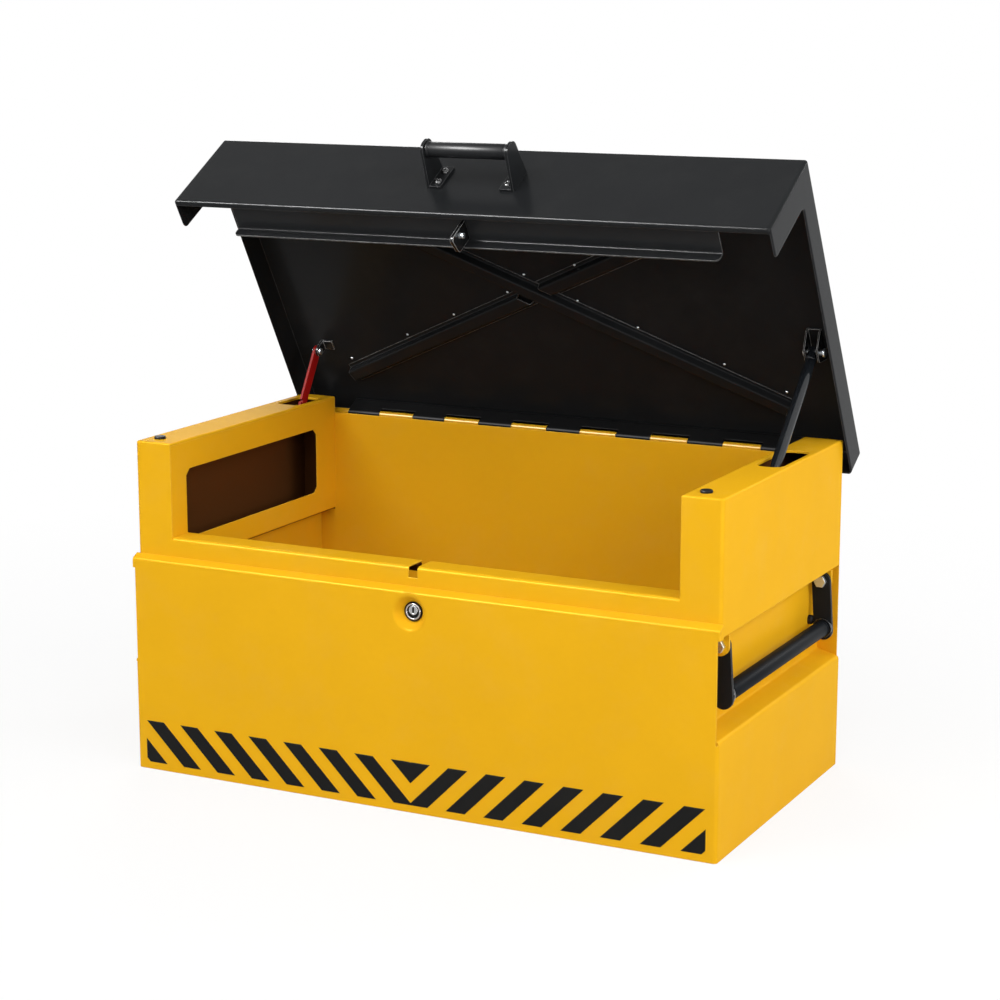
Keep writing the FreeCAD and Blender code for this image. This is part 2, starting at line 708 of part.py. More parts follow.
def lid_handle_screws():
    heads = []
    face = LID_FRONT - LID_FOOT_THICKNESS
    for x in (-1, 1):
        for z in (LID_FOOT_BOTTOM + LID_SCREW_INSET, LID_FOOT_TOP - LID_SCREW_INSET):
            heads.append(rod_y(LID_SCREW_R, face - LID_SCREW_HEIGHT, face,
                               x * (LID_BRACKET_X - LID_FOOT_WIDTH / 2), z))
    return Part.makeCompound(heads)


# Gas strut

def strut_bracket():
    outline = [(BRACKET_FRONT, LID_UNDERSIDE), (BRACKET_FRONT, STRUT_PIN_Z + BRACKET_NOSE_R),
               (STRUT_PIN_Y - BRACKET_NOSE_R, STRUT_PIN_Z - BRACKET_NOSE_R),
               (STRUT_PIN_Y + BRACKET_NOSE_R, STRUT_PIN_Z - BRACKET_NOSE_R), (BRACKET_REAR, LID_UNDERSIDE)]
    half = BRACKET_INSIDE / 2
    radii = [0, 0, BRACKET_NOSE_R / 2, BRACKET_NOSE_R / 2, 0]
    channel = plate(outline, on_x(STRUT_X - half - BRACKET_WALL),
                    V(BRACKET_INSIDE + 2 * BRACKET_WALL, 0, 0), radii)
    channel = channel.cut(box(STRUT_X - half, STRUT_X + half, -FAR, FAR, 0, LID_UNDERSIDE - BRACKET_WALL))
    return channel.cut(rod_x(PIN_R, STRUT_X - FAR, STRUT_X + FAR, STRUT_PIN_Y, STRUT_PIN_Z))


def headed_pin(start, end, y, z, radius, head_radius, head):
    """A pin between two places on X, with a head beyond each."""
    pin = rod_x(radius, start, end, y, z)
    heads = [rod_x(head_radius, x, x + head, y, z) for x in (start - head, end)]
    return pin.fuse(heads).removeSplitter()


def strut_pin():
    half = BRACKET_INSIDE / 2 + BRACKET_WALL
    return headed_pin(STRUT_X - half, STRUT_X + half + PIN_SPACER, STRUT_PIN_Y, STRUT_PIN_Z,
                      PIN_R, PIN_HEAD_R, PIN_HEAD)


def strut_axis():
    """The lid pin in the open pose, the way from it to the body stud, and how far that is."""
    pin = opened_point(STRUT_X, STRUT_PIN_Y, STRUT_PIN_Z)
    run = V(STRUT_X, STRUT_STUD_Y, STRUT_STUD_Z) - pin
    length = run.Length
    return pin, run.normalize(), length


def strut_cylinder():
    pin, way, _ = strut_axis()
    tube = Part.makeCylinder(STRUT_TUBE_R, STRUT_TUBE_END - STRUT_TUBE_START,
                             pin + way * STRUT_TUBE_START, way)
    neck = Part.makeCylinder(STRUT_EYE_R - RUNNING_CLEARANCE, STRUT_TUBE_START + SHEET, pin, way)
    eye = rod_x(STRUT_EYE_R, pin.x - STRUT_EYE_WIDTH / 2, pin.x + STRUT_EYE_WIDTH / 2, pin.y, pin.z)
    slice_half = STRUT_EYE_WIDTH / 2
    neck = neck.common(box(pin.x - slice_half, pin.x + slice_half, -FAR, FAR, 0, FAR))
    body = tube.fuse([neck, eye])
    chamber_end = STRUT_TUBE_END - STRUT_GLAND
    chamber = Part.makeCylinder(STRUT_BORE_R, chamber_end - STRUT_BORE_START,
                                pin + way * STRUT_BORE_START, way)
    gland = Part.makeCylinder(STRUT_ROD_R + RUNNING_CLEARANCE, STRUT_GLAND + SHEET,
                              pin + way * (chamber_end - SHEET / 2), way)
    hole = rod_x(PIN_R + RUNNING_CLEARANCE, pin.x - FAR, pin.x + FAR, pin.y, pin.z)
    return body.cut([chamber, gland, hole]).removeSplitter()


def strut_rod():
    pin, way, length = strut_axis()
    piston_end = STRUT_TUBE_END - STRUT_GLAND - STRUT_PISTON_GAP
    piston = Part.makeCylinder(STRUT_BORE_R - RUNNING_CLEARANCE, STRUT_PISTON_LENGTH,
                               pin + way * (piston_end - STRUT_PISTON_LENGTH), way)
    rod = Part.makeCylinder(STRUT_ROD_R, length - piston_end, pin + way * piston_end, way)
    socket = Part.makeCylinder(SOCKET_R, SOCKET_LENGTH, pin + way * (length - SOCKET_LENGTH + SOCKET_R), way)
    return piston.fuse([rod, socket]).removeSplitter()


def strut_stud():
    """The stud that the strut pushes on; it stops just short of the socket's side."""
    lining = PILLAR_INNER + SHEET
    stud = rod_x(STUD_R, lining, STRUT_X - SOCKET_R - STUD_GAP, STRUT_STUD_Y, STRUT_STUD_Z)
    flange = rod_x(STUD_FLANGE_R, lining, lining + STUD_FLANGE, STRUT_STUD_Y, STRUT_STUD_Z)
    return stud.fuse(flange).removeSplitter()


# Safety stay

def stay_bracket():
    """The lug on the stay's inner side, bent out of its own small base."""
    face = STAY_X + STAY_THICKNESS / 2 + RUNNING_CLEARANCE
    outline = [(STAY_PIN_Y - LUG_HALF, LID_UNDERSIDE), (STAY_PIN_Y - LUG_HALF, STAY_PIN_Z - LUG_NOSE_R),
               (STAY_PIN_Y + LUG_HALF, STAY_PIN_Z - LUG_NOSE_R), (STAY_PIN_Y + LUG_HALF, LID_UNDERSIDE)]
    lug = plate(outline, on_x(face), V(LUG_THICKNESS, 0, 0), [0, LUG_NOSE_R, LUG_NOSE_R, 0])
    base = box(face, face + LUG_BASE_WIDTH, STAY_PIN_Y - LUG_HALF,
               STAY_PIN_Y + LUG_HALF, LID_UNDERSIDE - LUG_BASE, LID_UNDERSIDE)
    hole = rod_x(STAY_PIN_R, face, face + LUG_THICKNESS, STAY_PIN_Y, STAY_PIN_Z)
    return lug.fuse(base).cut(hole).removeSplitter()


def stay_pin():
    """The pin through the stay and its lug, headed at both ends."""
    half = STAY_THICKNESS / 2 + RUNNING_CLEARANCE
    return headed_pin(STAY_X - half, STAY_X + half + LUG_THICKNESS, STAY_PIN_Y, STAY_PIN_Z,
                      STAY_PIN_R, STAY_HEAD_R, STAY_HEAD)


def safety_stay():
    """A red flat bar that hangs from its lid pin and leans forward into the pillar slot."""
    half, front = STAY_THICKNESS / 2, -STAY_DEPTH / 2
    outline = [(front, -STAY_BELOW), (-front, -STAY_BELOW), (-front, STAY_ABOVE), (front, STAY_ABOVE)]
    radii = [STAY_FOOT_R, STAY_FOOT_R, STAY_TOP_R, STAY_TOP_R]
    bar = plate(outline, on_x(-half), V(STAY_THICKNESS, 0, 0), radii)
    notch = box(-half, half, front, front + STAY_NOTCH, -STAY_NOTCH_AT - STAY_NOTCH_HEIGHT, -STAY_NOTCH_AT)
    bar = bar.cut([notch, rod_x(STAY_PIN_R + RUNNING_CLEARANCE, -half, half, 0, 0)])
    bar.rotate(V(0, 0, 0), V(1, 0, 0), -STAY_LEAN)
    bar.translate(opened_point(STAY_X, STAY_PIN_Y, STAY_PIN_Z))
    return bar


# Side handles

def bar_outline(start, end, radius):
    """A flat bar with round ends, drawn from one centre to the other on the XZ plane."""
    along = V(end[0] - start[0], 0, end[1] - start[1]).normalize()
    side = V(-along.z, 0, along.x) * radius
    a, b = V(start[0], 0, start[1]), V(end[0], 0, end[1])
    near = Part.Arc(a - side, a - along * radius, a + side).toShape()
    far = Part.Arc(b + side, b + along * radius, b - side).toShape()
    up = Part.LineSegment(a + side, b + side).toShape()
    down = Part.LineSegment(b - side, a - side).toShape()
    return Part.Wire([near, up, far, down])


def both_ends(make):
    """The rear piece of a side, and its twin at the front."""
    rear = make()
    return Part.makeCompound([rear, rear.mirror(V(0, 0, 0), V(0, 1, 0))])


def right_handle_tabs():
    def tab():
        outline = [(PIVOT_X - ARM_R, RECESS_TOP), (PIVOT_X - ARM_R, PIVOT_Z - ARM_R),
                   (PIVOT_X + ARM_R, PIVOT_Z - ARM_R), (PIVOT_X + ARM_R, RECESS_TOP)]
        radii = [0, TAB_CORNER, TAB_CORNER, 0]
        piece = plate(outline, on_y(TAB_INNER_Y), V(0, TAB_THICKNESS, 0), radii)
        return piece.cut(rod_y(HANDLE_BOLT_R, 0, FAR, PIVOT_X, PIVOT_Z))
    return both_ends(tab)


def right_handle_bolts():
    def bolt():
        shank_start = ARM_INNER_Y - TAB_GAP - HEX_HEIGHT
        head_start = TAB_INNER_Y + TAB_THICKNESS
        shank = rod_y(HANDLE_BOLT_R, shank_start, head_start, PIVOT_X, PIVOT_Z)
        head = hexagon_y(HEX_R, head_start, head_start + HEX_HEIGHT, PIVOT_X, PIVOT_Z)
        nut = hexagon_y(HEX_R, shank_start, shank_start + HEX_HEIGHT, PIVOT_X, PIVOT_Z)
        return shank.fuse([head, nut]).removeSplitter()
    return both_ends(bolt)


def right_handle_arms():
    def arm():
        outline = bar_outline((PIVOT_X, PIVOT_Z), (DROP_GRIP_X, ARM_END_Z), ARM_R)
        bar = Part.Face(outline).extrude(V(0, ARM_THICKNESS, 0))
        bar.translate(V(0, ARM_INNER_Y, 0))
        return bar.cut(rod_y(HANDLE_BOLT_R + RUNNING_CLEARANCE, 0, FAR, PIVOT_X, PIVOT_Z))
    return both_ends(arm)


def right_handle_grip():
    reach = ARM_INNER_Y - COLLAR_LENGTH
    grip = chamfered_ends(rod_y(GRIP_R, -reach, reach, DROP_GRIP_X, DROP_GRIP_Z), GRIP_CHAMFER, 1)
    return grip.cut(rod_y(HANDLE_ROD_R, -reach, reach, DROP_GRIP_X, DROP_GRIP_Z))


def right_handle_rod():
    """The rod inside the grip, with a collar at each arm."""
    rod = rod_y(HANDLE_ROD_R, -ARM_INNER_Y, ARM_INNER_Y, DROP_GRIP_X, DROP_GRIP_Z)
    for start in (-ARM_INNER_Y, ARM_INNER_Y - COLLAR_LENGTH):
        rod = rod.fuse(rod_y(COLLAR_R, start, start + COLLAR_LENGTH, DROP_GRIP_X, DROP_GRIP_Z))
    return rod.removeSplitter()


def right_handle_buffers():
    """Rubber buffers on the recess wall that the hanging arms lean on."""
    lean = (DROP_GRIP_X - PIVOT_X) / (PIVOT_Z - ARM_END_Z)
    edge = PIVOT_X + lean * (PIVOT_Z - BUFFER_Z - BUFFER_R) - ARM_R * math.hypot(1, lean) - BUFFER_GAP

    def buffer():
        stub = rod_x(BUFFER_R, RECESS_WALL_X, edge, ARM_INNER_Y + ARM_THICKNESS / 2, BUFFER_Z)
        return chamfered_ends(stub, BUFFER_CHAMFER, 0, (False, True))
    return both_ends(buffer)


# Lock

def lock_barrel():
    face = DISH_FLOOR_Y - BARREL_FLANGE
    barrel = rod_y(BARREL_R, DISH_FLOOR_Y, BARREL_BACK_Y, 0, LOCK_Z)
    barrel = barrel.fuse(rod_y(BARREL_FLANGE_R, face, DISH_FLOOR_Y, 0, LOCK_Z))
    return barrel.cut(rod_y(PLUG_R + RUNNING_CLEARANCE, -FAR, FAR, 0, PLUG_Z)).removeSplitter()


def lock_nut():
    start = DISH_FLOOR_Y + SHEET
    nut = hexagon_y(LOCK_NUT_R, start, start + LOCK_NUT, 0, LOCK_Z)
    return nut.cut(rod_y(BARREL_R, -FAR, FAR, 0, LOCK_Z))


def lock_plug():
    face = DISH_FLOOR_Y - BARREL_FLANGE - PLUG_PROUD
    plug = rod_y(PLUG_R, face, CAM_FRONT_Y, 0, PLUG_Z)
    half = KEYWAY_WIDTH / 2
    return plug.cut(box(-half, half, face, face + KEYWAY_DEPTH,
                        PLUG_Z - KEYWAY_HEIGHT / 2, PLUG_Z + KEYWAY_HEIGHT / 2))


def ring_sector(inner, outer, start, end):
    """A flat piece of a ring round the lock's axis, between two angles from +X towards +Z."""
    def at(radius, angle):
        turn = math.radians(angle)
        return V(radius * math.cos(turn), 0, radius * math.sin(turn))
    middle = (start + end) / 2
    edges = [Part.Arc(at(outer, start), at(outer, middle), at(outer, end)).toShape(),
             Part.LineSegment(at(outer, end), at(inner, end)).toShape(),
             Part.Arc(at(inner, end), at(inner, middle), at(inner, start)).toShape(),
             Part.LineSegment(at(inner, start), at(outer, start)).toShape()]
    return Part.Face(Part.Wire(edges)).extrude(V(0, CAM_THICKNESS, 0))


def lock_cam():
    """A hook that swings over the lid's striker pin, drawn locked and then parked."""
    hub = Part.makeCylinder(CAM_HUB_R, CAM_THICKNESS, V(0, 0, 0), V(0, 1, 0))
    arm = ring_sector(CAM_HUB_R / 2, CAM_OUTER_R, CAM_ARM_FROM, CAM_ARM_TO)
    finger = ring_sector(CAM_INNER_R, CAM_OUTER_R, CAM_ARM_FROM, CAM_FINGER_TO)
    cam = hub.fuse([arm, finger]).removeSplitter()
    cam.rotate(V(0, 0, 0), V(0, 1, 0), -CAM_PARKED)
    cam.translate(V(0, CAM_FRONT_Y, PLUG_Z))
    return cam


def cam_nut():
    start = CAM_FRONT_Y + CAM_THICKNESS
    return hexagon_y(CAM_NUT_R, start, start + CAM_NUT, 0, PLUG_Z)


# Every node and its solid

def body_nodes():
    lining = right_pillar_lining()
    left_slot_x = -STAY_SLOT_X
    nodes = {
        "floor_pan": floor_pan(),
        "body_shell": body_shell(),
        "rear_panel": rear_panel(),
        "right_pillar": right_pillar(STRUT_X, STRUT_SLOT_FRONT, STRUT_SLOT_REAR, SLOT_CORNER),
        "left_pillar": mirrored(right_pillar(left_slot_x, STAY_SLOT_FRONT, STAY_SLOT_REAR, STAY_SLOT_CORNER)),
        "front_strip": front_strip(),
        "lip_shelf": lip_shelf(),
        "right_pillar_lining": lining,
        "left_pillar_lining": mirrored(lining),
        "rubber_stops": rubber_stops(),
        "body_hinge_leaf": body_hinge_leaf(),
        "hinge_pin": hinge_pin(),
        "strut_stud": strut_stud(),
        "lock_barrel": lock_barrel(),
        "lock_nut": lock_nut(),
        "lock_plug": lock_plug(),
        "lock_cam": lock_cam(),
        "cam_nut": cam_nut(),
    }
    handle_pieces = {
        "handle_tabs": right_handle_tabs(),
        "handle_bolts": right_handle_bolts(),
        "handle_buffers": right_handle_buffers(),
        "handle_arms": right_handle_arms(),
        "handle_grip": right_handle_grip(),
        "handle_rod": right_handle_rod(),
    }
    for name, shape in handle_pieces.items():
        nodes["right_" + name] = shape
        nodes["left_" + name] = mirrored(shape)
    return nodes


def lid_nodes():
    bracket = right_lid_bracket()
    closed = {
        "lid_panel": lid_panel(),
        "lid_hinge_leaf": lid_hinge_leaf(),
        "lid_rail": lid_rail(),
        "lid_catch": lid_catch(),
        "striker_pin": striker_pin(),
        "long_brace": long_brace(),
        "short_braces": short_braces(),
        "right_lid_bracket": bracket,
        "left_lid_bracket": mirrored(bracket),
        "lid_grip": lid_grip(),
        "lid_handle_screws": lid_handle_screws(),
        "strut_bracket": strut_bracket(),
        "strut_pin": strut_pin(),
        "stay_bracket": stay_bracket(),
        "stay_pin": stay_pin(),
    }
    return {name: opened(shape) for name, shape in closed.items()}


def main():
    os.makedirs("parts", exist_ok=True)
    nodes = body_nodes()
    nodes.update(lid_nodes())
    nodes["strut_cylinder"] = strut_cylinder()
    nodes["strut_rod"] = strut_rod()
    nodes["safety_stay"] = safety_stay()
    for name, shape in nodes.items():
        shape.exportStep("parts/%s.step" % name)
        print("%-24s %d solids, %9.0f mm3, valid %s"
              % (name, len(shape.Solids), shape.Volume, shape.isValid()))


main()
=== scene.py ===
import json
import math
import bmesh
import bpy
from mathutils import Matrix, Vector


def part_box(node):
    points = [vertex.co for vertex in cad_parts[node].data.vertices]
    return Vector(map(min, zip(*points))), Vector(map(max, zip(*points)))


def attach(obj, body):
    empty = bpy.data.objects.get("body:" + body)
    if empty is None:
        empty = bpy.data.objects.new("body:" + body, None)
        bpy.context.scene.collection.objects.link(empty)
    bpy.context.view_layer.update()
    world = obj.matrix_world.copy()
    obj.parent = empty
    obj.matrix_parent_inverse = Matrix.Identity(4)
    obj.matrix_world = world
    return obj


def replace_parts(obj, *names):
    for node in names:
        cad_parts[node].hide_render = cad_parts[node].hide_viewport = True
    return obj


# The tool box in metres, dressed for its portrait: paint, stripes, fasteners, light and camera

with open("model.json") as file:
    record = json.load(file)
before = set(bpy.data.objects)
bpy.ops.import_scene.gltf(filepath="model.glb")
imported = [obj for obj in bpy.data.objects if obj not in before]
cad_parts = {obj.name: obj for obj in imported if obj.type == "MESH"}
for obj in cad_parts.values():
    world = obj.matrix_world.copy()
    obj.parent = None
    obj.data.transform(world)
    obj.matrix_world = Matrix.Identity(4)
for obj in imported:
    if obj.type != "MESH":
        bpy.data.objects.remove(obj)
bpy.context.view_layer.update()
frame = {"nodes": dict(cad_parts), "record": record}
nodes = frame["nodes"]
record = frame["record"]

MM = 0.001
NEAR = 1e-6

# Directions, and the turn that makes a flat primitive face the front
ACROSS = (1, 0, 0)
REARWARD = (0, 1, 0)
UPWARD = (0, 0, 1)
FACING_FRONT = (math.pi / 2, 0, 0)

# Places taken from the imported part
HINGE = Vector((0, 259, 462)) * MM
OPEN_TURN = math.radians(59.5)
FRONT_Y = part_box("body_shell")[0].y
LID_FACE_Y = -238 * MM
LID_UNDERSIDE_Z = 494 * MM
LID_GRIP = Vector((0, -288, 416)) * MM
LOCK = Vector((0, -226.5, 288)) * MM
SIDE_GRIP = Vector((449, 0, 219)) * MM

# Camera, as the photograph sees the box
VIEW_TURN = math.radians(26.75)
VIEW_HEIGHT = math.radians(11.96)
VIEW_DISTANCE = 3.551
VIEW_TARGET = Vector((0.0199, 0, 0.4046))
VIEW_LENS = 88.2
VIEW_SENSOR = 36.0


# Working by hand: selecting, shaping and finishing a piece

SMOOTH_ANGLE = math.radians(40)
LATHE_STEPS = 48


def put_down():
    """Back to object mode with nothing selected."""
    if bpy.context.mode != "OBJECT":
        bpy.ops.object.mode_set(mode="OBJECT")
    bpy.ops.object.select_all(action="DESELECT")


def take(*pieces):
    """Select these pieces, with the first one active."""
    put_down()
    for piece in pieces:
        piece.select_set(True)
    bpy.context.view_layer.objects.active = pieces[0]


def shape(piece):
    """Go into edit mode on one piece."""
    take(piece)
    bpy.ops.object.mode_set(mode="EDIT")


def pick(piece, kind, wanted):
    """In edit mode, select the corners or faces that are wanted."""
    bpy.ops.mesh.select_mode(type=kind)
    bpy.ops.mesh.select_all(action="DESELECT")
    mesh = bmesh.from_edit_mesh(piece.data)
    for part in {"VERT": mesh.verts, "FACE": mesh.faces}[kind]:
        if wanted(part):
            part.select_set(True)
    mesh.select_flush_mode()
    bmesh.update_edit_mesh(piece.data)


def pick_all():
    """In edit mode, select everything."""
    bpy.ops.mesh.select_all(action="SELECT")


def pull(offset):
    """Extrude what is selected by an offset."""
    bpy.ops.mesh.extrude_region_move(TRANSFORM_OT_translate={"value": offset})


def close_shape():
    """Merge doubles and turn every face outwards."""
    bpy.ops.mesh.select_mode(type="VERT")
    pick_all()
    bpy.ops.mesh.remove_doubles(threshold=NEAR)
    bpy.ops.mesh.normals_make_consistent(inside=False)
    put_down()


def copy_to(piece, offset):
    """A copy with its own mesh, moved by an offset."""
    take(piece)
    bpy.ops.object.duplicate(linked=False)
    copy = bpy.context.active_object
    copy.location = copy.location + Vector(offset)
    return copy


def joined(pieces, name):
    """One piece made of these, with its place in its mesh."""
    take(*pieces)
    if len(pieces) > 1:
        bpy.ops.object.join()
    piece = bpy.context.active_object
    piece.name = name
    piece.data.name = name
    bpy.ops.object.transform_apply(location=True, rotation=True, scale=True)
    return piece


def started(name):
    """The primitive that was just added, named and with its place in its mesh."""
    return joined([bpy.context.active_object], name)


def repeated(piece, spots, name):
    """Copies of a piece at these spots, joined, with the first piece cleared away."""
    copies = [copy_to(piece, spot) for spot in spots]
    bpy.data.objects.remove(piece)
    return joined(copies, name)


def swung_open(piece):
    """Turn a piece that was made on the closed lid to where the open lid holds it."""
    piece.matrix_world = (Matrix.Translation(HINGE) @ Matrix.Rotation(-OPEN_TURN, 4, "X")
                          @ Matrix.Translation(-HINGE))
    take(piece)
    bpy.ops.object.transform_apply(location=True, rotation=True, scale=True)
    return piece


def turned(name, profile, centre, axis, steps=LATHE_STEPS):
    """A lathe piece: a run of (radius, along) points in mm, spun round an axis through centre."""
    along = Vector(axis).normalized()
    out = along.orthogonal().normalized()
    spots = [Vector(centre) + (out * radius + along * way) * MM for radius, way in profile]
    put_down()
    bpy.ops.mesh.primitive_plane_add(size=MM, location=spots[0])
    piece = started(name)
    shape(piece)
    pick_all()
    bpy.ops.mesh.merge(type="CENTER")
    for here, there in zip(spots, spots[1:]):
        pull(there - here)
    pick_all()
    bpy.ops.mesh.spin(steps=steps, angle=2 * math.pi, center=centre, axis=along)
    close_shape()
    return piece


def finished(piece, material, body):
    """Shade, paint and hang a piece on the body that carries it."""
    take(piece)
    bpy.ops.object.shade_smooth_by_angle(angle=SMOOTH_ANGLE)
    piece.data.materials.clear()
    piece.data.materials.append(material)
    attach(piece, body)


# Nodes, and how they are joined up

NUMBER = "NodeSocketFloat"
VECTOR = "NodeSocketVector"

# A Mix node's sockets for each kind: first, second and result
MIX_SOCKETS = {"RGBA": (6, 7, 2), "VECTOR": (4, 5, 1)}


def feed(tree, socket, value):
    """Set a number or a colour on a socket, or link another socket to it."""
    if isinstance(value, bpy.types.NodeSocket):
        tree.links.new(value, socket)
    elif isinstance(value, tuple):
        socket.default_value = (*value, 1.0)
    else:
        socket.default_value = value


def add_node(tree, kind, settings=None, **values):
    """A node with its settings, and values on its named inputs."""
    node = tree.nodes.new(kind)
    for name, value in (settings or {}).items():
        setattr(node, name, value)
    for name, value in values.items():
        node.inputs[name.replace("_", " ")].default_value = value
    return node


def maths(tree, operation, *values):
    """A sum of numbers and sockets."""
    node = add_node(tree, "ShaderNodeMath", {"operation": operation})
    for socket, value in zip(node.inputs, values):
        feed(tree, socket, value)
    return node.outputs[0]


def product(tree, first, *others):
    """All these values multiplied."""
    for other in others:
        first = maths(tree, "MULTIPLY", first, other)
    return first


def between(tree, value, low, high):
    """1 where a value lies between two limits, else 0."""
    return product(tree, maths(tree, "GREATER_THAN", value, low),
                   maths(tree, "LESS_THAN", value, high))


def ranged(tree, value, low, high, to_low=0.0, to_high=1.0):
    """A value carried over from one range to another, and held inside it."""
    node = add_node(tree, "ShaderNodeMapRange", {"clamp": True}, From_Min=low, From_Max=high,
                    To_Min=to_low, To_Max=to_high)
    tree.links.new(value, node.inputs["Value"])
    return node.outputs["Result"]


def noise(tree, place, scale, detail, roughness):
    """Noise over a place; its scale is a number or a socket."""
    node = add_node(tree, "ShaderNodeTexNoise", Detail=detail, Roughness=roughness)
    tree.links.new(place, node.inputs["Vector"])
    feed(tree, node.inputs["Scale"], scale)
    return node.outputs["Fac"]


def blend(tree, kind, factor, first, second):
    """First where the factor is 0, second where it is 1."""
    node = add_node(tree, "ShaderNodeMix", {"data_type": kind})
    first_at, second_at, result_at = MIX_SOCKETS[kind]
    tree.links.new(factor, node.inputs["Factor"])
    feed(tree, node.inputs[first_at], first)
    feed(tree, node.inputs[second_at], second)
    return node.outputs[result_at]


def blend_colour(tree, factor, first, second):
    """Two colours blended; each is a colour or a socket."""
    return blend(tree, "RGBA", factor, first, second)


def new_group(name, numbers, outputs):
    """A node group that reads a place and some numbers, given with their usual values."""
    group = bpy.data.node_groups.new(name, "ShaderNodeTree")
    group.interface.new_socket(name="Place", in_out="INPUT", socket_type=VECTOR)
    for label, value in numbers.items():
        socket = group.interface.new_socket(name=label, in_out="INPUT", socket_type=NUMBER)
        socket.default_value = value
    for label, kind in outputs.items():
        group.interface.new_socket(name=label, in_out="OUTPUT", socket_type=kind)
    given = group.nodes.new("NodeGroupInput").outputs
    return group, given, group.nodes.new("NodeGroupOutput").inputs


def placed_group(tree, group, place, **values):
    """A group's node in a material, with its own values."""
    node = add_node(tree, "ShaderNodeGroup", {"node_tree": group}, **values)
    tree.links.new(place, node.inputs["Place"])
    return node


# Surface effects that several finishes share

SPECK_SCALE = 1900.0
SPECK_HEIGHT = 0.25

EDGE_RADIUS = 0.0016
EDGE_SAMPLES = 6
EDGE_TURN = (0.99, 0.80)
EDGE_PATCHES = (0.30, 0.62)
LEAST_WEAR_AND_SHEEN = 0.35
DUST_CLOUDS = (0.48, 0.74)

# Low and high limits of the hollow pillars and of the channel behind the lip, painted dark as shade
PILLAR_ACROSS = (0.398, 0.4546)
PILLAR_ALONG = (-0.2252, 0.2375)
PILLAR_HEIGHT = (0.3055, 0.4865)
CHANNEL_ALONG = (-0.2252, -0.188)
CHANNEL_HEIGHT = (0.31, 0.3503)

# Where the front strip is welded to the pillars
WELD_ACROSS = (0.394, 0.400)
WELD_REAR = -0.18
WELD_TOP = 0.353


def make_coat_grain():
    """The orange peel of a sprayed coat: a height for bump, a slow drift for colour, and specks."""
    group, given, put = new_group("coat_grain", {"Peel Scale": 420.0, "Drift Scale": 5.0},
                                  {"Height": NUMBER, "Drift": NUMBER, "Speck": NUMBER})
    place = given["Place"]
    peel = noise(group, place, scale=given["Peel Scale"], detail=2.0, roughness=0.45)
    drift = noise(group, place, scale=given["Drift Scale"], detail=4.0, roughness=0.6)
    speck = noise(group, place, scale=SPECK_SCALE, detail=1.0, roughness=0.4)
    group.links.new(maths(group, "MULTIPLY_ADD", speck, SPECK_HEIGHT, peel), put["Height"])
    group.links.new(drift, put["Drift"])
    group.links.new(speck, put["Speck"])
    return group


def make_box_zones():
    """Places on the box: the hollows, painted dark as shade, and the welds beside the front strip.
    """
    group, given, put = new_group("box_zones", {}, {"Hollow": NUMBER, "Weld": NUMBER})
    axes = group.nodes.new("ShaderNodeSeparateXYZ")
    group.links.new(given["Place"], axes.inputs["Vector"])
    across = maths(group, "ABSOLUTE", axes.outputs["X"])
    along, height = axes.outputs["Y"], axes.outputs["Z"]
    pillars = product(group, between(group, across, *PILLAR_ACROSS),
                      between(group, along, *PILLAR_ALONG),
                      between(group, height, *PILLAR_HEIGHT))
    channel = product(group, between(group, along, *CHANNEL_ALONG),
                      between(group, height, *CHANNEL_HEIGHT),
                      maths(group, "LESS_THAN", across, PILLAR_ACROSS[0]))
    weld = product(group, between(group, across, *WELD_ACROSS),
                   maths(group, "LESS_THAN", along, WELD_REAR),
                   maths(group, "LESS_THAN", height, WELD_TOP))
    # The hollows are where the coats paint shade
    group.links.new(maths(group, "MAXIMUM", pillars, channel), put["Hollow"])
    group.links.new(weld, put["Weld"])
    return group


def make_edge_wear_and_sheen():
    """Where a surface turns sharply: a rounded normal, and a broken mask along the edge. The mask
    lightens edges, partly as wear and partly as painted highlight.

    A weld is ground flush, so it has neither.
    """
    group, given, put = new_group("edge_wear_and_sheen", {"Breakup": 90.0, "Weld": 0.0},
                                  {"Mask": NUMBER, "Normal": VECTOR})
    rounding = add_node(group, "ShaderNodeBevel", {"samples": EDGE_SAMPLES}, Radius=EDGE_RADIUS)
    rounded = rounding.outputs["Normal"]
    plain = group.nodes.new("ShaderNodeNewGeometry").outputs["Normal"]
    turn = add_node(group, "ShaderNodeVectorMath", {"operation": "DOT_PRODUCT"})
    group.links.new(rounded, turn.inputs[0])
    group.links.new(plain, turn.inputs[1])
    edge = ranged(group, turn.outputs["Value"], *EDGE_TURN)
    patches = noise(group, given["Place"], scale=given["Breakup"], detail=5.0, roughness=0.65)
    broken = ranged(group, patches, *EDGE_PATCHES, LEAST_WEAR_AND_SHEEN, 1.0)
    unwelded = maths(group, "SUBTRACT", 1.0, given["Weld"])
    group.links.new(product(group, edge, broken, unwelded), put["Mask"])
    group.links.new(blend(group, "VECTOR", given["Weld"], rounded, plain), put["Normal"])
    return group


def make_handling():
    """Faint dust and hand marks, in soft clouds."""
    group, given, put = new_group("handling", {"Cloud Scale": 9.0}, {"Dust": NUMBER})
    cloud = noise(group, given["Place"], scale=given["Cloud Scale"], detail=6.0, roughness=0.7)
    group.links.new(ranged(group, cloud, *DUST_CLOUDS), put["Dust"])
    return group


COAT_GRAIN = make_coat_grain()
BOX_ZONES = make_box_zones()
EDGE_WEAR_AND_SHEEN = make_edge_wear_and_sheen()
HANDLING = make_handling()


# Kinds of finish

# Noise values over which a tint changes and a roughness varies
DRIFT_BAND = (0.35, 0.65)
ROUGH_BAND = (0.3, 0.7)

COAT_ROUGH_SPREAD = 0.03
COAT_DUST = (0.62, 0.58, 0.50)
COAT_DUST_DULLING = 0.04
COAT_BUMP = 0.35

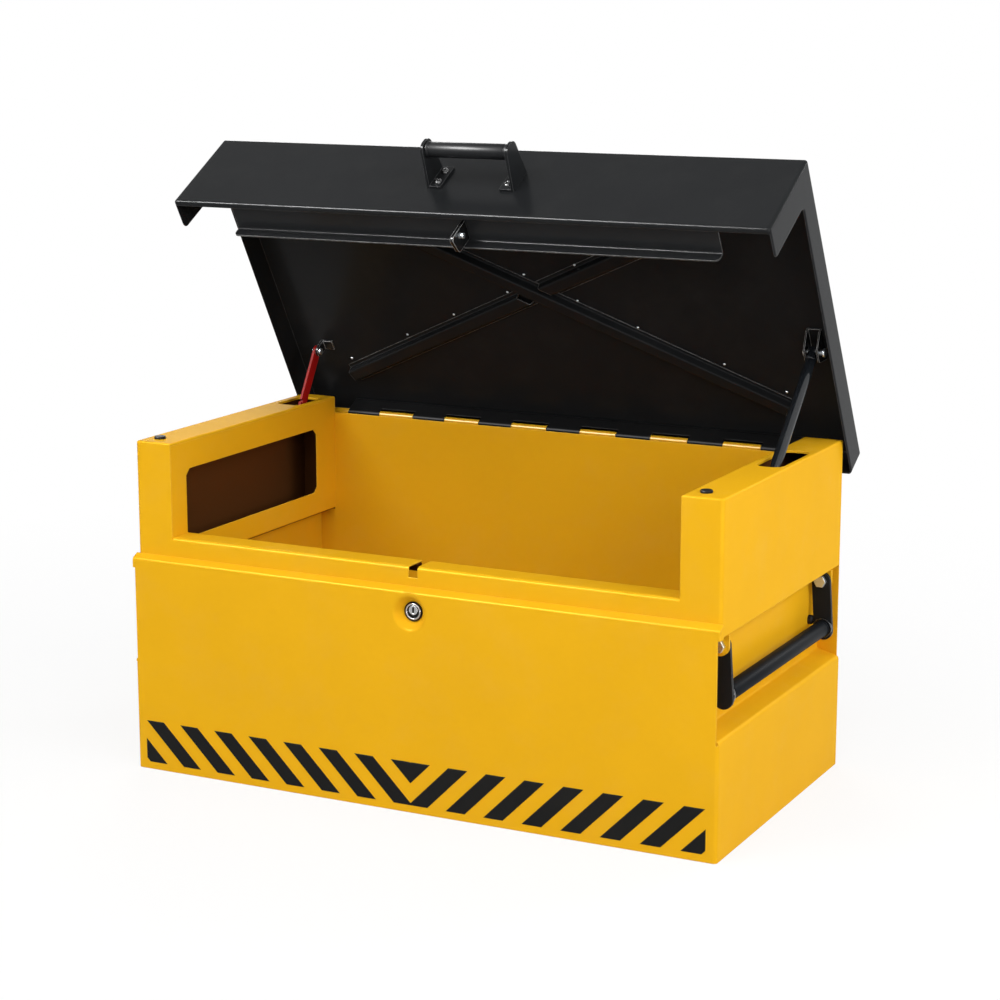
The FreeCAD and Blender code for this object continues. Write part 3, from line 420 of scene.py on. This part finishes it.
RUBBER_PEBBLE = 900.0
RUBBER_PEBBLE_BAND = (0.4, 0.9)
RUBBER_ROUGH_SPREAD = 0.08
RUBBER_SCUFF = (0.05, 0.05, 0.052)
RUBBER_SCUFF_SHARE = 0.4
RUBBER_DUST = (0.30, 0.28, 0.25)
RUBBER_DUST_SHARE = 0.04
RUBBER_GLOSS = 0.1
RUBBER_BUMP = 0.4
RUBBER_DEPTH = 0.0002

METAL_BRUSHING = (40.0, 900.0, 900.0)
METAL_ROUGH_SPREAD = 0.05
METAL_EDGE_HIGHLIGHT = (0.90, 0.90, 0.88)
METAL_EDGE_SHARE = 0.5
METAL_SMUDGE = 0.12
METAL_BUMP = 0.25
METAL_DEPTH = 0.00008


def new_finish(name):
    """A material with its shader and Object coordinates ready."""
    material = bpy.data.materials.new(name)
    material.use_nodes = True
    tree = material.node_tree
    place = tree.nodes.new("ShaderNodeTexCoord").outputs["Object"]
    return material, tree, tree.nodes["Principled BSDF"], place


def set_bump(tree, shader, height, normal, strength, distance):
    """A fine relief on top of the rounded edges."""
    bump = add_node(tree, "ShaderNodeBump", Strength=strength, Distance=distance)
    tree.links.new(height, bump.inputs["Height"])
    tree.links.new(normal, bump.inputs["Normal"])
    tree.links.new(bump.outputs["Normal"], shader.inputs["Normal"])


def sprayed_coat(name, colour, shade, edge, edge_share, roughness, gloss, peel=420.0,
                 depth=0.00012, dust_share=0.02, flake=0.0, hollow_shade=None):
    """Powder-coated steel with orange peel, paler edges and a little dust.

    Flake tints the gloss with the paint's own colour. In the hollow places a dark colour is
    painted in as shade.
    """
    material, tree, shader, place = new_finish(name)
    grain = placed_group(tree, COAT_GRAIN, place, Peel_Scale=peel)
    wear_and_sheen = placed_group(tree, EDGE_WEAR_AND_SHEEN, place)
    zones = placed_group(tree, BOX_ZONES, place)
    marks = placed_group(tree, HANDLING, place)
    tree.links.new(zones.outputs["Weld"], wear_and_sheen.inputs["Weld"])
    # The edge colour lightens sharp edges, partly as wear and partly as painted highlight
    edge_wear_and_highlight = product(tree, wear_and_sheen.outputs["Mask"], edge_share)
    dusty = product(tree, marks.outputs["Dust"], dust_share)
    paint = blend_colour(tree, ranged(tree, grain.outputs["Drift"], *DRIFT_BAND), colour, shade)
    paint = blend_colour(tree, edge_wear_and_highlight, paint, edge)
    paint = blend_colour(tree, dusty, paint, COAT_DUST)
    # Painted shade: the hollow places turn dark
    if hollow_shade:
        paint = blend_colour(tree, zones.outputs["Hollow"], paint, hollow_shade)
    tree.links.new(paint, shader.inputs["Base Color"])
    specked = ranged(tree, grain.outputs["Speck"], *ROUGH_BAND, roughness - COAT_ROUGH_SPREAD,
                     roughness + COAT_ROUGH_SPREAD)
    dulled = maths(tree, "MULTIPLY_ADD", marks.outputs["Dust"], COAT_DUST_DULLING, specked)
    tree.links.new(dulled, shader.inputs["Roughness"])
    shader.inputs["Specular IOR Level"].default_value = gloss
    shader.inputs["Metallic"].default_value = flake
    set_bump(tree, shader, grain.outputs["Height"], wear_and_sheen.outputs["Normal"], COAT_BUMP, depth)
    return material


def moulded_rubber(name, colour, shade, roughness):
    """Black moulded rubber: a pebbled skin that goes greyer on its edges."""
    material, tree, shader, place = new_finish(name)
    grain = placed_group(tree, COAT_GRAIN, place, Peel_Scale=RUBBER_PEBBLE, Drift_Scale=30.0)
    wear_and_sheen = placed_group(tree, EDGE_WEAR_AND_SHEEN, place, Breakup=200.0)
    marks = placed_group(tree, HANDLING, place, Cloud_Scale=40.0)
    scuffed = product(tree, wear_and_sheen.outputs["Mask"], RUBBER_SCUFF_SHARE)
    dusty = product(tree, marks.outputs["Dust"], RUBBER_DUST_SHARE)
    skin = blend_colour(tree, ranged(tree, grain.outputs["Drift"], *DRIFT_BAND), colour, shade)
    skin = blend_colour(tree, scuffed, skin, RUBBER_SCUFF)
    skin = blend_colour(tree, dusty, skin, RUBBER_DUST)
    tree.links.new(skin, shader.inputs["Base Color"])
    pebbled = ranged(tree, grain.outputs["Height"], *RUBBER_PEBBLE_BAND,
                     roughness - RUBBER_ROUGH_SPREAD, roughness + RUBBER_ROUGH_SPREAD)
    tree.links.new(pebbled, shader.inputs["Roughness"])
    shader.inputs["Specular IOR Level"].default_value = RUBBER_GLOSS
    set_bump(tree, shader, grain.outputs["Height"], wear_and_sheen.outputs["Normal"], RUBBER_BUMP,
             RUBBER_DEPTH)
    return material


def worked_metal(name, colour, shade, roughness, metallic=1.0):
    """Bare or plated metal: fine brushing, smudges and edges painted brighter as a highlight."""
    material, tree, shader, place = new_finish(name)
    shader.inputs["Metallic"].default_value = metallic
    stretch = add_node(tree, "ShaderNodeMapping", Scale=METAL_BRUSHING)
    tree.links.new(place, stretch.inputs["Vector"])
    lines = noise(tree, stretch.outputs["Vector"], scale=1.0, detail=3.0, roughness=0.55)
    wear_and_sheen = placed_group(tree, EDGE_WEAR_AND_SHEEN, place, Breakup=260.0)
    marks = placed_group(tree, HANDLING, place, Cloud_Scale=60.0)
    bright = product(tree, wear_and_sheen.outputs["Mask"], METAL_EDGE_SHARE)
    metal = blend_colour(tree, ranged(tree, lines, *DRIFT_BAND), colour, shade)
    # Painted highlight: the edges are lightened
    metal = blend_colour(tree, bright, metal, METAL_EDGE_HIGHLIGHT)
    tree.links.new(metal, shader.inputs["Base Color"])
    brushed = ranged(tree, lines, *ROUGH_BAND, roughness - METAL_ROUGH_SPREAD,
                     roughness + METAL_ROUGH_SPREAD)
    smudged = maths(tree, "MULTIPLY_ADD", marks.outputs["Dust"], METAL_SMUDGE, brushed)
    tree.links.new(smudged, shader.inputs["Roughness"])
    set_bump(tree, shader, lines, wear_and_sheen.outputs["Normal"], METAL_BUMP, METAL_DEPTH)
    return material


# What several coats have in common
# Every coat lightens its sharp edges with its edge colour: partly wear, partly painted highlight
YELLOW = dict(colour=(0.82, 0.432, 0.0120), shade=(0.79, 0.414, 0.0115), edge=(1.0, 0.66, 0.10),
              edge_share=0.6, flake=0.008)
LID_SPRAY = dict(peel=520.0, dust_share=0.006)
# Pale grey edges, painted as highlights along the braces and the rail
PAINTED_EDGE_HIGHLIGHTS = dict(edge=(0.42, 0.42, 0.41), edge_share=0.8)
SLEEVE = dict(edge=(0.05, 0.052, 0.056), edge_share=0.4, peel=260.0, depth=0.00001,
              dust_share=0.006)
SMALL_BLACK = dict(edge_share=0.5, roughness=0.12, depth=0.00003)

# Finishes by the record's slot names
FINISHES = {
    # The yellow coat paints a dark shade into the hollow pillars and channel
    "yellow_paint": sprayed_coat("yellow_coat", **YELLOW, roughness=0.24, gloss=0.005,
                                 hollow_shade=(0.10, 0.036, 0.010)),
    "black_paint": sprayed_coat("black_coat", (0.0132, 0.0141, 0.0151), (0.0149, 0.0159, 0.0169),
                                edge=(0.16, 0.16, 0.165), edge_share=0.6, roughness=0.22,
                                gloss=0.045, **LID_SPRAY),
    "red_paint": sprayed_coat("red_coat", (0.42, 0.012, 0.010), (0.36, 0.010, 0.009),
                              edge=(0.60, 0.10, 0.06), edge_share=0.5, roughness=0.34,
                              gloss=0.012),
    "black_rubber": moulded_rubber("black_rubber", (0.010, 0.010, 0.011), (0.014, 0.014, 0.015),
                                   roughness=0.46),
    "bright_steel": worked_metal("zinc_steel", (0.62, 0.67, 0.70), (0.54, 0.59, 0.62),
                                 roughness=0.30, metallic=0.9),
    "chrome_plate": worked_metal("chrome", (0.55, 0.55, 0.55), (0.47, 0.47, 0.48),
                                 roughness=0.16),
}

# Finishes that only some pieces wear
HINGE_COAT = sprayed_coat("hinge_coat", **YELLOW, roughness=0.30, gloss=0.08)
# Black with bright edges: bare cut edges, with glints painted along them as highlights
BARE_AND_HIGHLIT_EDGE_COAT = sprayed_coat("bare_and_highlit_edge_coat", (0.0090, 0.0094, 0.0100), (0.0105, 0.0110, 0.0116),
                         edge=(0.85, 0.85, 0.83), edge_share=0.8, roughness=0.18, gloss=0.20,
                         **LID_SPRAY)
BRACE_COAT = sprayed_coat("brace_coat", (0.0115, 0.0124, 0.0134), (0.0132, 0.0142, 0.0152),
                          **PAINTED_EDGE_HIGHLIGHTS, roughness=0.22, gloss=0.08, **LID_SPRAY)
RAIL_COAT = sprayed_coat("rail_coat", (0.0210, 0.0220, 0.0235), (0.0240, 0.0250, 0.0265),
                         **PAINTED_EDGE_HIGHLIGHTS, roughness=0.22, gloss=0.045, **LID_SPRAY)
LID_SLEEVE = sprayed_coat("lid_sleeve", (0.0090, 0.0096, 0.0108), (0.0105, 0.0112, 0.0122),
                          **SLEEVE, roughness=0.38, gloss=0.09)
SIDE_SLEEVE = sprayed_coat("side_sleeve", (0.0065, 0.0078, 0.0098), (0.0078, 0.0092, 0.0112),
                           **SLEEVE, roughness=0.42, gloss=0.02)
DULL_BLACK = sprayed_coat("dull_black", (0.0060, 0.0062, 0.0066), (0.0072, 0.0074, 0.0078),
                          edge=(0.05, 0.05, 0.05), edge_share=0.4, roughness=0.42, gloss=0.03,
                          peel=600.0, depth=0.00004, dust_share=0.004)
GLOSS_BLACK = sprayed_coat("gloss_black", (0.0070, 0.0085, 0.0105), (0.0084, 0.0100, 0.0122),
                           edge=(0.10, 0.10, 0.10), **SMALL_BLACK, gloss=0.55, peel=300.0,
                           dust_share=0.006)
SCREW_BLACK = sprayed_coat("screw_black", (0.0080, 0.0080, 0.0086), (0.0095, 0.0095, 0.0100),
                           edge=(0.14, 0.14, 0.14), **SMALL_BLACK, gloss=1.0, peel=900.0,
                           dust_share=0.004)
STRIPE_FILM = sprayed_coat("stripe_film", (0.0060, 0.0060, 0.0060), (0.0075, 0.0075, 0.0072),
                           edge=(0.05, 0.05, 0.05), edge_share=0.5, roughness=0.45, gloss=0.06,
                           peel=700.0, depth=0.00006, dust_share=0.004)
LOCK_METAL = worked_metal("lock_metal", (0.40, 0.40, 0.41), (0.32, 0.32, 0.33), roughness=0.12)
PLUG_METAL = worked_metal("plug_metal", (0.42, 0.42, 0.42), (0.34, 0.34, 0.35), roughness=0.18)

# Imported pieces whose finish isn't that of their slot
OWN_FINISHES = {
    "strut_bracket": BARE_AND_HIGHLIT_EDGE_COAT,
    "stay_bracket": BARE_AND_HIGHLIT_EDGE_COAT,
    "lid_catch": BARE_AND_HIGHLIT_EDGE_COAT,
    "lid_rail": RAIL_COAT,
    "long_brace": BRACE_COAT,
    "short_braces": BRACE_COAT,
    "strut_cylinder": GLOSS_BLACK,
    "right_handle_rod": GLOSS_BLACK,
    "left_handle_rod": GLOSS_BLACK,
    "body_hinge_leaf": HINGE_COAT,
    "lid_hinge_leaf": DULL_BLACK,
    "lock_barrel": DULL_BLACK,
    "lock_plug": PLUG_METAL,
}

for part in record["subparts"]:
    node = nodes[part["node"]]
    node.data.materials.clear()
    node.data.materials.append(OWN_FINISHES.get(part["node"], FINISHES[part["material_slot"]]))


# Hazard stripes on the foot of the front

BAND_TOP = 74 * MM
BAND_BOTTOM = 10.8 * MM
BAND_END = 444 * MM
BAR_WIDTH = 30 * MM
BAR_PITCH = 58.8 * MM
FIRST_BAR = 1.2 * MM
BAR_COUNT = 9
FILM = 0.2 * MM


def hazard_bar():
    """The first slanted bar of the right half, flat on the front face."""
    height = BAND_TOP - BAND_BOTTOM
    put_down()
    bpy.ops.mesh.primitive_plane_add(size=1, rotation=FACING_FRONT)
    bar = started("hazard_bar")
    shape(bar)
    pick_all()
    bpy.ops.transform.resize(value=(BAR_WIDTH, 1, height))
    pick(bar, "VERT", lambda corner: corner.co.z > 0)
    bpy.ops.transform.translate(value=(height, 0, 0))
    pick_all()
    start = FIRST_BAR + BAR_WIDTH / 2 - height
    bpy.ops.transform.translate(value=(start, FRONT_Y, (BAND_TOP + BAND_BOTTOM) / 2))
    put_down()
    return bar


def hazard_stripes():
    """The right half's bars, cut off at both ends, made a film and mirrored."""
    first = hazard_bar()
    bars = [first] + [copy_to(first, (BAR_PITCH * i, 0, 0)) for i in range(1, BAR_COUNT)]
    stripes = joined(bars, "hazard_stripes")
    shape(stripes)
    for edge, way in ((0.0, -1), (BAND_END, 1)):
        pick_all()
        bpy.ops.mesh.bisect(plane_co=(edge, 0, 0), plane_no=(way, 0, 0), clear_outer=True)
    pick_all()
    pull((0, -FILM, 0))
    pick(stripes, "FACE", lambda face: abs(face.calc_center_median().x) < NEAR)
    bpy.ops.mesh.delete(type="ONLY_FACE")
    put_down()
    halves = stripes.modifiers.new("other_half", "MIRROR")
    halves.use_axis[0] = True
    take(stripes)
    bpy.ops.object.modifier_apply(modifier=halves.name)
    shape(stripes)
    close_shape()
    finished(stripes, STRIPE_FILM, "root")


hazard_stripes()


# Lid rivets and handle screws, made on the closed lid

RIVETS = [(-365, 171), (-248, 114), (-154, 68), (-50, 18), (64, 26), (152, 69), (278, 127),
          (368, 171), (-14, -17), (74, -40)]
RIVET_STEPS = 16
BRACE_SHEET = 1.5

SCREW_X = 55
SCREW_HEIGHTS = (404, 429)
SCREW_STEPS = 24
FOOT_THICKNESS = 4


def brace_rivets():
    """Small domes along the braces."""
    seat = LID_UNDERSIDE_Z - BRACE_SHEET * MM
    dome = [(0, -1.4), (0.8, -1.3), (1.4, -1.0), (1.8, -0.4), (1.9, 0)]
    rivet = turned("brace_rivet", dome, (0, 0, seat), UPWARD, RIVET_STEPS)
    spots = [(x * MM, y * MM, 0) for x, y in RIVETS]
    rivets = swung_open(repeated(rivet, spots, "brace_rivets"))
    finished(rivets, FINISHES["bright_steel"], "lid")


def lid_screw_heads():
    """Button heads with a socket, in place of the plain ones."""
    face = LID_FACE_Y - FOOT_THICKNESS * MM
    button = [(0, -1.4), (2.3, -1.4), (2.3, -3.5), (3.4, -3.4), (4.6, -2.9), (5.5, -2.0),
              (6.0, -0.8), (6.0, 0)]
    screw = turned("lid_screw", button, (0, face, 0), REARWARD, SCREW_STEPS)
    spots = [(side * SCREW_X * MM, 0, z * MM) for side in (-1, 1) for z in SCREW_HEIGHTS]
    heads = swung_open(repeated(screw, spots, "lid_screw_heads"))
    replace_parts(heads, "lid_handle_screws")
    finished(heads, SCREW_BLACK, "lid")


brace_rivets()
lid_screw_heads()


# Grip sleeves, each with a ring and a groove at its ends

def both_ways(half):
    """A profile drawn from one end to the middle, with its mirror image added."""
    return half + [(radius, -way) for radius, way in reversed(half)]


def lid_grip_sleeve():
    """The sleeve between the lid handle's brackets."""
    ends = [(7.0, -64.0), (10.8, -64.0), (11.5, -63.2), (11.5, -60.2), (11.0, -59.4),
            (10.2, -59.2), (10.2, -58.2), (10.6, -57.6), (11.1, -56.8)]
    sleeve = turned("lid_grip_sleeve", both_ways(ends), LID_GRIP, ACROSS)
    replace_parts(swung_open(sleeve), "lid_grip")
    finished(sleeve, LID_SLEEVE, "lid")


def side_grip_sleeve(side, way):
    """A sleeve on its rod, with rolled ends that stop at the rod's collars."""
    ends = [(8.0, -189.0), (10.6, -189.0), (11.6, -188.2), (11.9, -187.0), (11.9, -184.4),
            (11.5, -183.4), (10.9, -183.0), (10.9, -182.0), (11.5, -181.4), (11.9, -180.2)]
    run = both_ways(ends)
    run.append(run[0])
    centre = Vector((SIDE_GRIP.x * way, SIDE_GRIP.y, SIDE_GRIP.z))
    sleeve = turned(side + "_grip_sleeve", run, centre, REARWARD)
    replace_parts(sleeve, side + "_handle_grip")
    finished(sleeve, SIDE_SLEEVE, side + "_handle")


lid_grip_sleeve()
side_grip_sleeve("right", 1)
side_grip_sleeve("left", -1)


# Lock face: a domed bezel, a rubber gasket round it and a dark disc round the plug, painted as
# shade

LOCK_STEPS = 64
SHADE_DISC_RADIUS = 9.2
SHADE_DISC_THICKNESS = 0.3
PLUG_RISE = 2.0
PLUG_HOLE_RADIUS = 6.9
PLUG_FACE = -0.8
KEYWAY_RADIUS = 1.5
KEYWAY_STRETCH = 2.6
KEYWAY_THICKNESS = 0.15
KEYWAY_STEPS = 24


def lock_bezel():
    """The domed metal ring."""
    run = [(9.3, 0), (9.3, -1.1), (9.7, -1.6), (10.6, -1.9), (11.6, -1.6), (12.2, -0.9),
           (12.3, 0), (9.3, 0)]
    bezel = turned("lock_bezel", run, LOCK, REARWARD, LOCK_STEPS)
    finished(bezel, LOCK_METAL, "root")


def lock_gasket():
    """The rubber ring between bezel and sheet."""
    run = [(12.4, 0), (12.4, -0.7), (12.8, -1.1), (13.4, -1.1), (13.9, -0.7), (14.0, 0),
           (12.4, 0)]
    gasket = turned("lock_gasket", run, LOCK, REARWARD, LOCK_STEPS)
    finished(gasket, DULL_BLACK, "root")


def lock_shade_disc():
    """The recessed dark disc inside the bezel, with the plug's hole off its centre: painted shade.
    """
    plug_centre = LOCK + Vector((0, 0, PLUG_RISE * MM))
    rings = []
    for radius, centre in ((SHADE_DISC_RADIUS, LOCK), (PLUG_HOLE_RADIUS, plug_centre)):
        put_down()
        bpy.ops.mesh.primitive_circle_add(vertices=LOCK_STEPS, radius=radius * MM,
                                          location=centre, rotation=FACING_FRONT)
        rings.append(bpy.context.active_object)
    shade_disc = joined(rings, "lock_shade_disc")
    shape(shade_disc)
    pick_all()
    bpy.ops.mesh.bridge_edge_loops()
    pick_all()
    pull((0, -SHADE_DISC_THICKNESS * MM, 0))
    close_shape()
    finished(shade_disc, DULL_BLACK, "root")


def keyhole_shade():
    """The keyway's mouth as a thin dark film, a slim rounded slot on the plug's face: painted
    shade.
    """
    put_down()
    face = LOCK + Vector((0, PLUG_FACE, PLUG_RISE)) * MM
    bpy.ops.mesh.primitive_circle_add(vertices=KEYWAY_STEPS, radius=KEYWAY_RADIUS * MM,
                                      fill_type="NGON", location=face, rotation=FACING_FRONT)
    mouth = started("keyhole_shade")
    shape(mouth)
    pick(mouth, "VERT", lambda corner: corner.co.z > face.z + NEAR)
    bpy.ops.transform.translate(value=(0, 0, KEYWAY_STRETCH * MM))
    pick(mouth, "VERT", lambda corner: corner.co.z < face.z - NEAR)
    bpy.ops.transform.translate(value=(0, 0, -KEYWAY_STRETCH * MM))
    pick_all()
    pull((0, -KEYWAY_THICKNESS * MM, 0))
    close_shape()
    finished(mouth, DULL_BLACK, "lock")


lock_bezel()
lock_gasket()
lock_shade_disc()
keyhole_shade()


# Floor, light and camera

FLOOR_SIZE = 30
FLOOR_DROP = -0.0005
FLOOR_FADE = (0.8, 2.0)
NEAR_WHITE = 0.80
FLOOR_CARD = (0.86, 0.86, 0.86)
FLOOR_BOUNCE = (0.55, 0.55, 0.55)
WHITE = (1, 1, 1, 1)
WORLD_LIGHT = 0.36

# Name, place, aim, size and power of each lamp
BOX_MIDDLE = (0, 0, 0.4)
SOFT_LAMPS = [
    ("key", (-1.5, -2.2, 2.5), BOX_MIDDLE, (1.6, 0.6), 32),
    ("main", (2.7, -1.9, 1.7), (0, 0, 0.35), (1.6, 1.4), 15),
    ("front", (0.3, -2.9, 1.7), BOX_MIDDLE, (2.0, 1.0), 20),
    ("side", (3.0, -0.5, 1.7), (0.4, 0, 0.3), (1.8, 1.6), 46),
    ("overhead", (0.3, -1.6, 3.2), BOX_MIDDLE, (2.4, 1.2), 30),
    ("rim", (1.9, 3.0, 1.6), (0.3, 0, 0.4), (1.0, 0.6), 32),
    ("back", (-1.7, 2.9, 2.0), (0, 0.2, 0.4), (1.6, 1.0), 34),
]
STRIP_LAMPS = [
    ("fold_strip", (-1.5, -2.2, 2.5), BOX_MIDDLE, (1.6, 0.5), 950),
    ("corner_strip", (1.6, -1.0, 0.2), (0.4565, -0.227, 0.38), (1.8, 0.3), 22),
]


def seen_plainly(tree, rays):
    """1 for what the camera, a reflection or clear glass shows, 0 for light on the box."""
    plainly = maths(tree, "MAXIMUM", rays["Is Camera Ray"], rays["Is Glossy Ray"])
    return maths(tree, "MAXIMUM", plainly, rays["Is Transmission Ray"])


def mixed_surface(tree, output, share, first, second):
    """Two shaders, mixed by a share, on the tree's output."""
    mix = tree.nodes.new("ShaderNodeMixShader")
    tree.links.new(share, mix.inputs["Fac"])
    tree.links.new(first, mix.inputs[1])
    tree.links.new(second, mix.inputs[2])
    tree.links.new(mix.outputs["Shader"], tree.nodes.new(output).inputs["Surface"])


def studio_floor():
    """A pale floor that keeps the shadow near the box and fades to white further out."""
    put_down()
    bpy.ops.mesh.primitive_plane_add(size=FLOOR_SIZE, location=(0, 0, FLOOR_DROP))
    floor = started("studio_floor")
    material = bpy.data.materials.new("pale_floor")
    material.use_nodes = True
    tree = material.node_tree
    tree.nodes.clear()
    rays = tree.nodes.new("ShaderNodeLightPath").outputs
    lit = tree.nodes.new("ShaderNodeBsdfDiffuse")
    card = blend_colour(tree, rays["Is Diffuse Ray"], FLOOR_CARD, FLOOR_BOUNCE)
    tree.links.new(card, lit.inputs["Color"])
    white = add_node(tree, "ShaderNodeEmission", Color=WHITE, Strength=1.0)
    reach = add_node(tree, "ShaderNodeVectorMath", {"operation": "LENGTH"})
    place = tree.nodes.new("ShaderNodeTexCoord").outputs["Object"]
    tree.links.new(place, reach.inputs[0])
    fade = ranged(tree, reach.outputs["Value"], *FLOOR_FADE, NEAR_WHITE, 1.0)
    mixed_surface(tree, "ShaderNodeOutputMaterial", product(tree, seen_plainly(tree, rays), fade),
                  lit.outputs["BSDF"], white.outputs["Emission"])
    floor.data.materials.append(material)


def studio_world():
    """A soft light from all sides, which looks white itself."""
    world = bpy.data.worlds.new("studio")
    world.use_nodes = True
    bpy.context.scene.world = world
    tree = world.node_tree
    tree.nodes.clear()
    rays = tree.nodes.new("ShaderNodeLightPath").outputs
    soft = add_node(tree, "ShaderNodeBackground", Color=WHITE, Strength=WORLD_LIGHT)
    white = add_node(tree, "ShaderNodeBackground", Color=WHITE, Strength=1.0)
    mixed_surface(tree, "ShaderNodeOutputWorld", seen_plainly(tree, rays),
                  soft.outputs["Background"], white.outputs["Background"])


def soft_lamp(name, place, aim, size, power):
    """A flat lamp at a place, turned towards its aim."""
    lamp = bpy.data.lights.new(name, "AREA")
    lamp.shape = "RECTANGLE"
    lamp.size, lamp.size_y = size
    lamp.energy = power
    holder = bpy.data.objects.new(name, lamp)
    holder.location = place
    holder.rotation_euler = (Vector(aim) - Vector(place)).to_track_quat("-Z", "Y").to_euler()
    bpy.context.scene.collection.objects.link(holder)
    return holder


def strip_lamp(*settings):
    """A narrow lamp that only shows as a glint along the folds."""
    soft_lamp(*settings).visible_diffuse = False


def photo_camera():
    """The camera, looking at the box as the photograph does."""
    camera = bpy.data.cameras.new("photo_camera")
    camera.lens = VIEW_LENS
    camera.sensor_width = VIEW_SENSOR
    holder = bpy.data.objects.new("photo_camera", camera)
    level = math.cos(VIEW_HEIGHT)
    back = Vector((math.sin(VIEW_TURN) * level, -math.cos(VIEW_TURN) * level,
                   math.sin(VIEW_HEIGHT)))
    holder.location = VIEW_TARGET + back * VIEW_DISTANCE
    holder.rotation_euler = back.to_track_quat("Z", "Y").to_euler()
    bpy.context.scene.collection.objects.link(holder)
    bpy.context.scene.camera = holder


studio_floor()
studio_world()
for settings in SOFT_LAMPS:
    soft_lamp(*settings)
for settings in STRIP_LAMPS:
    strip_lamp(*settings)
photo_camera()
bpy.context.scene.view_settings.view_transform = "Standard"
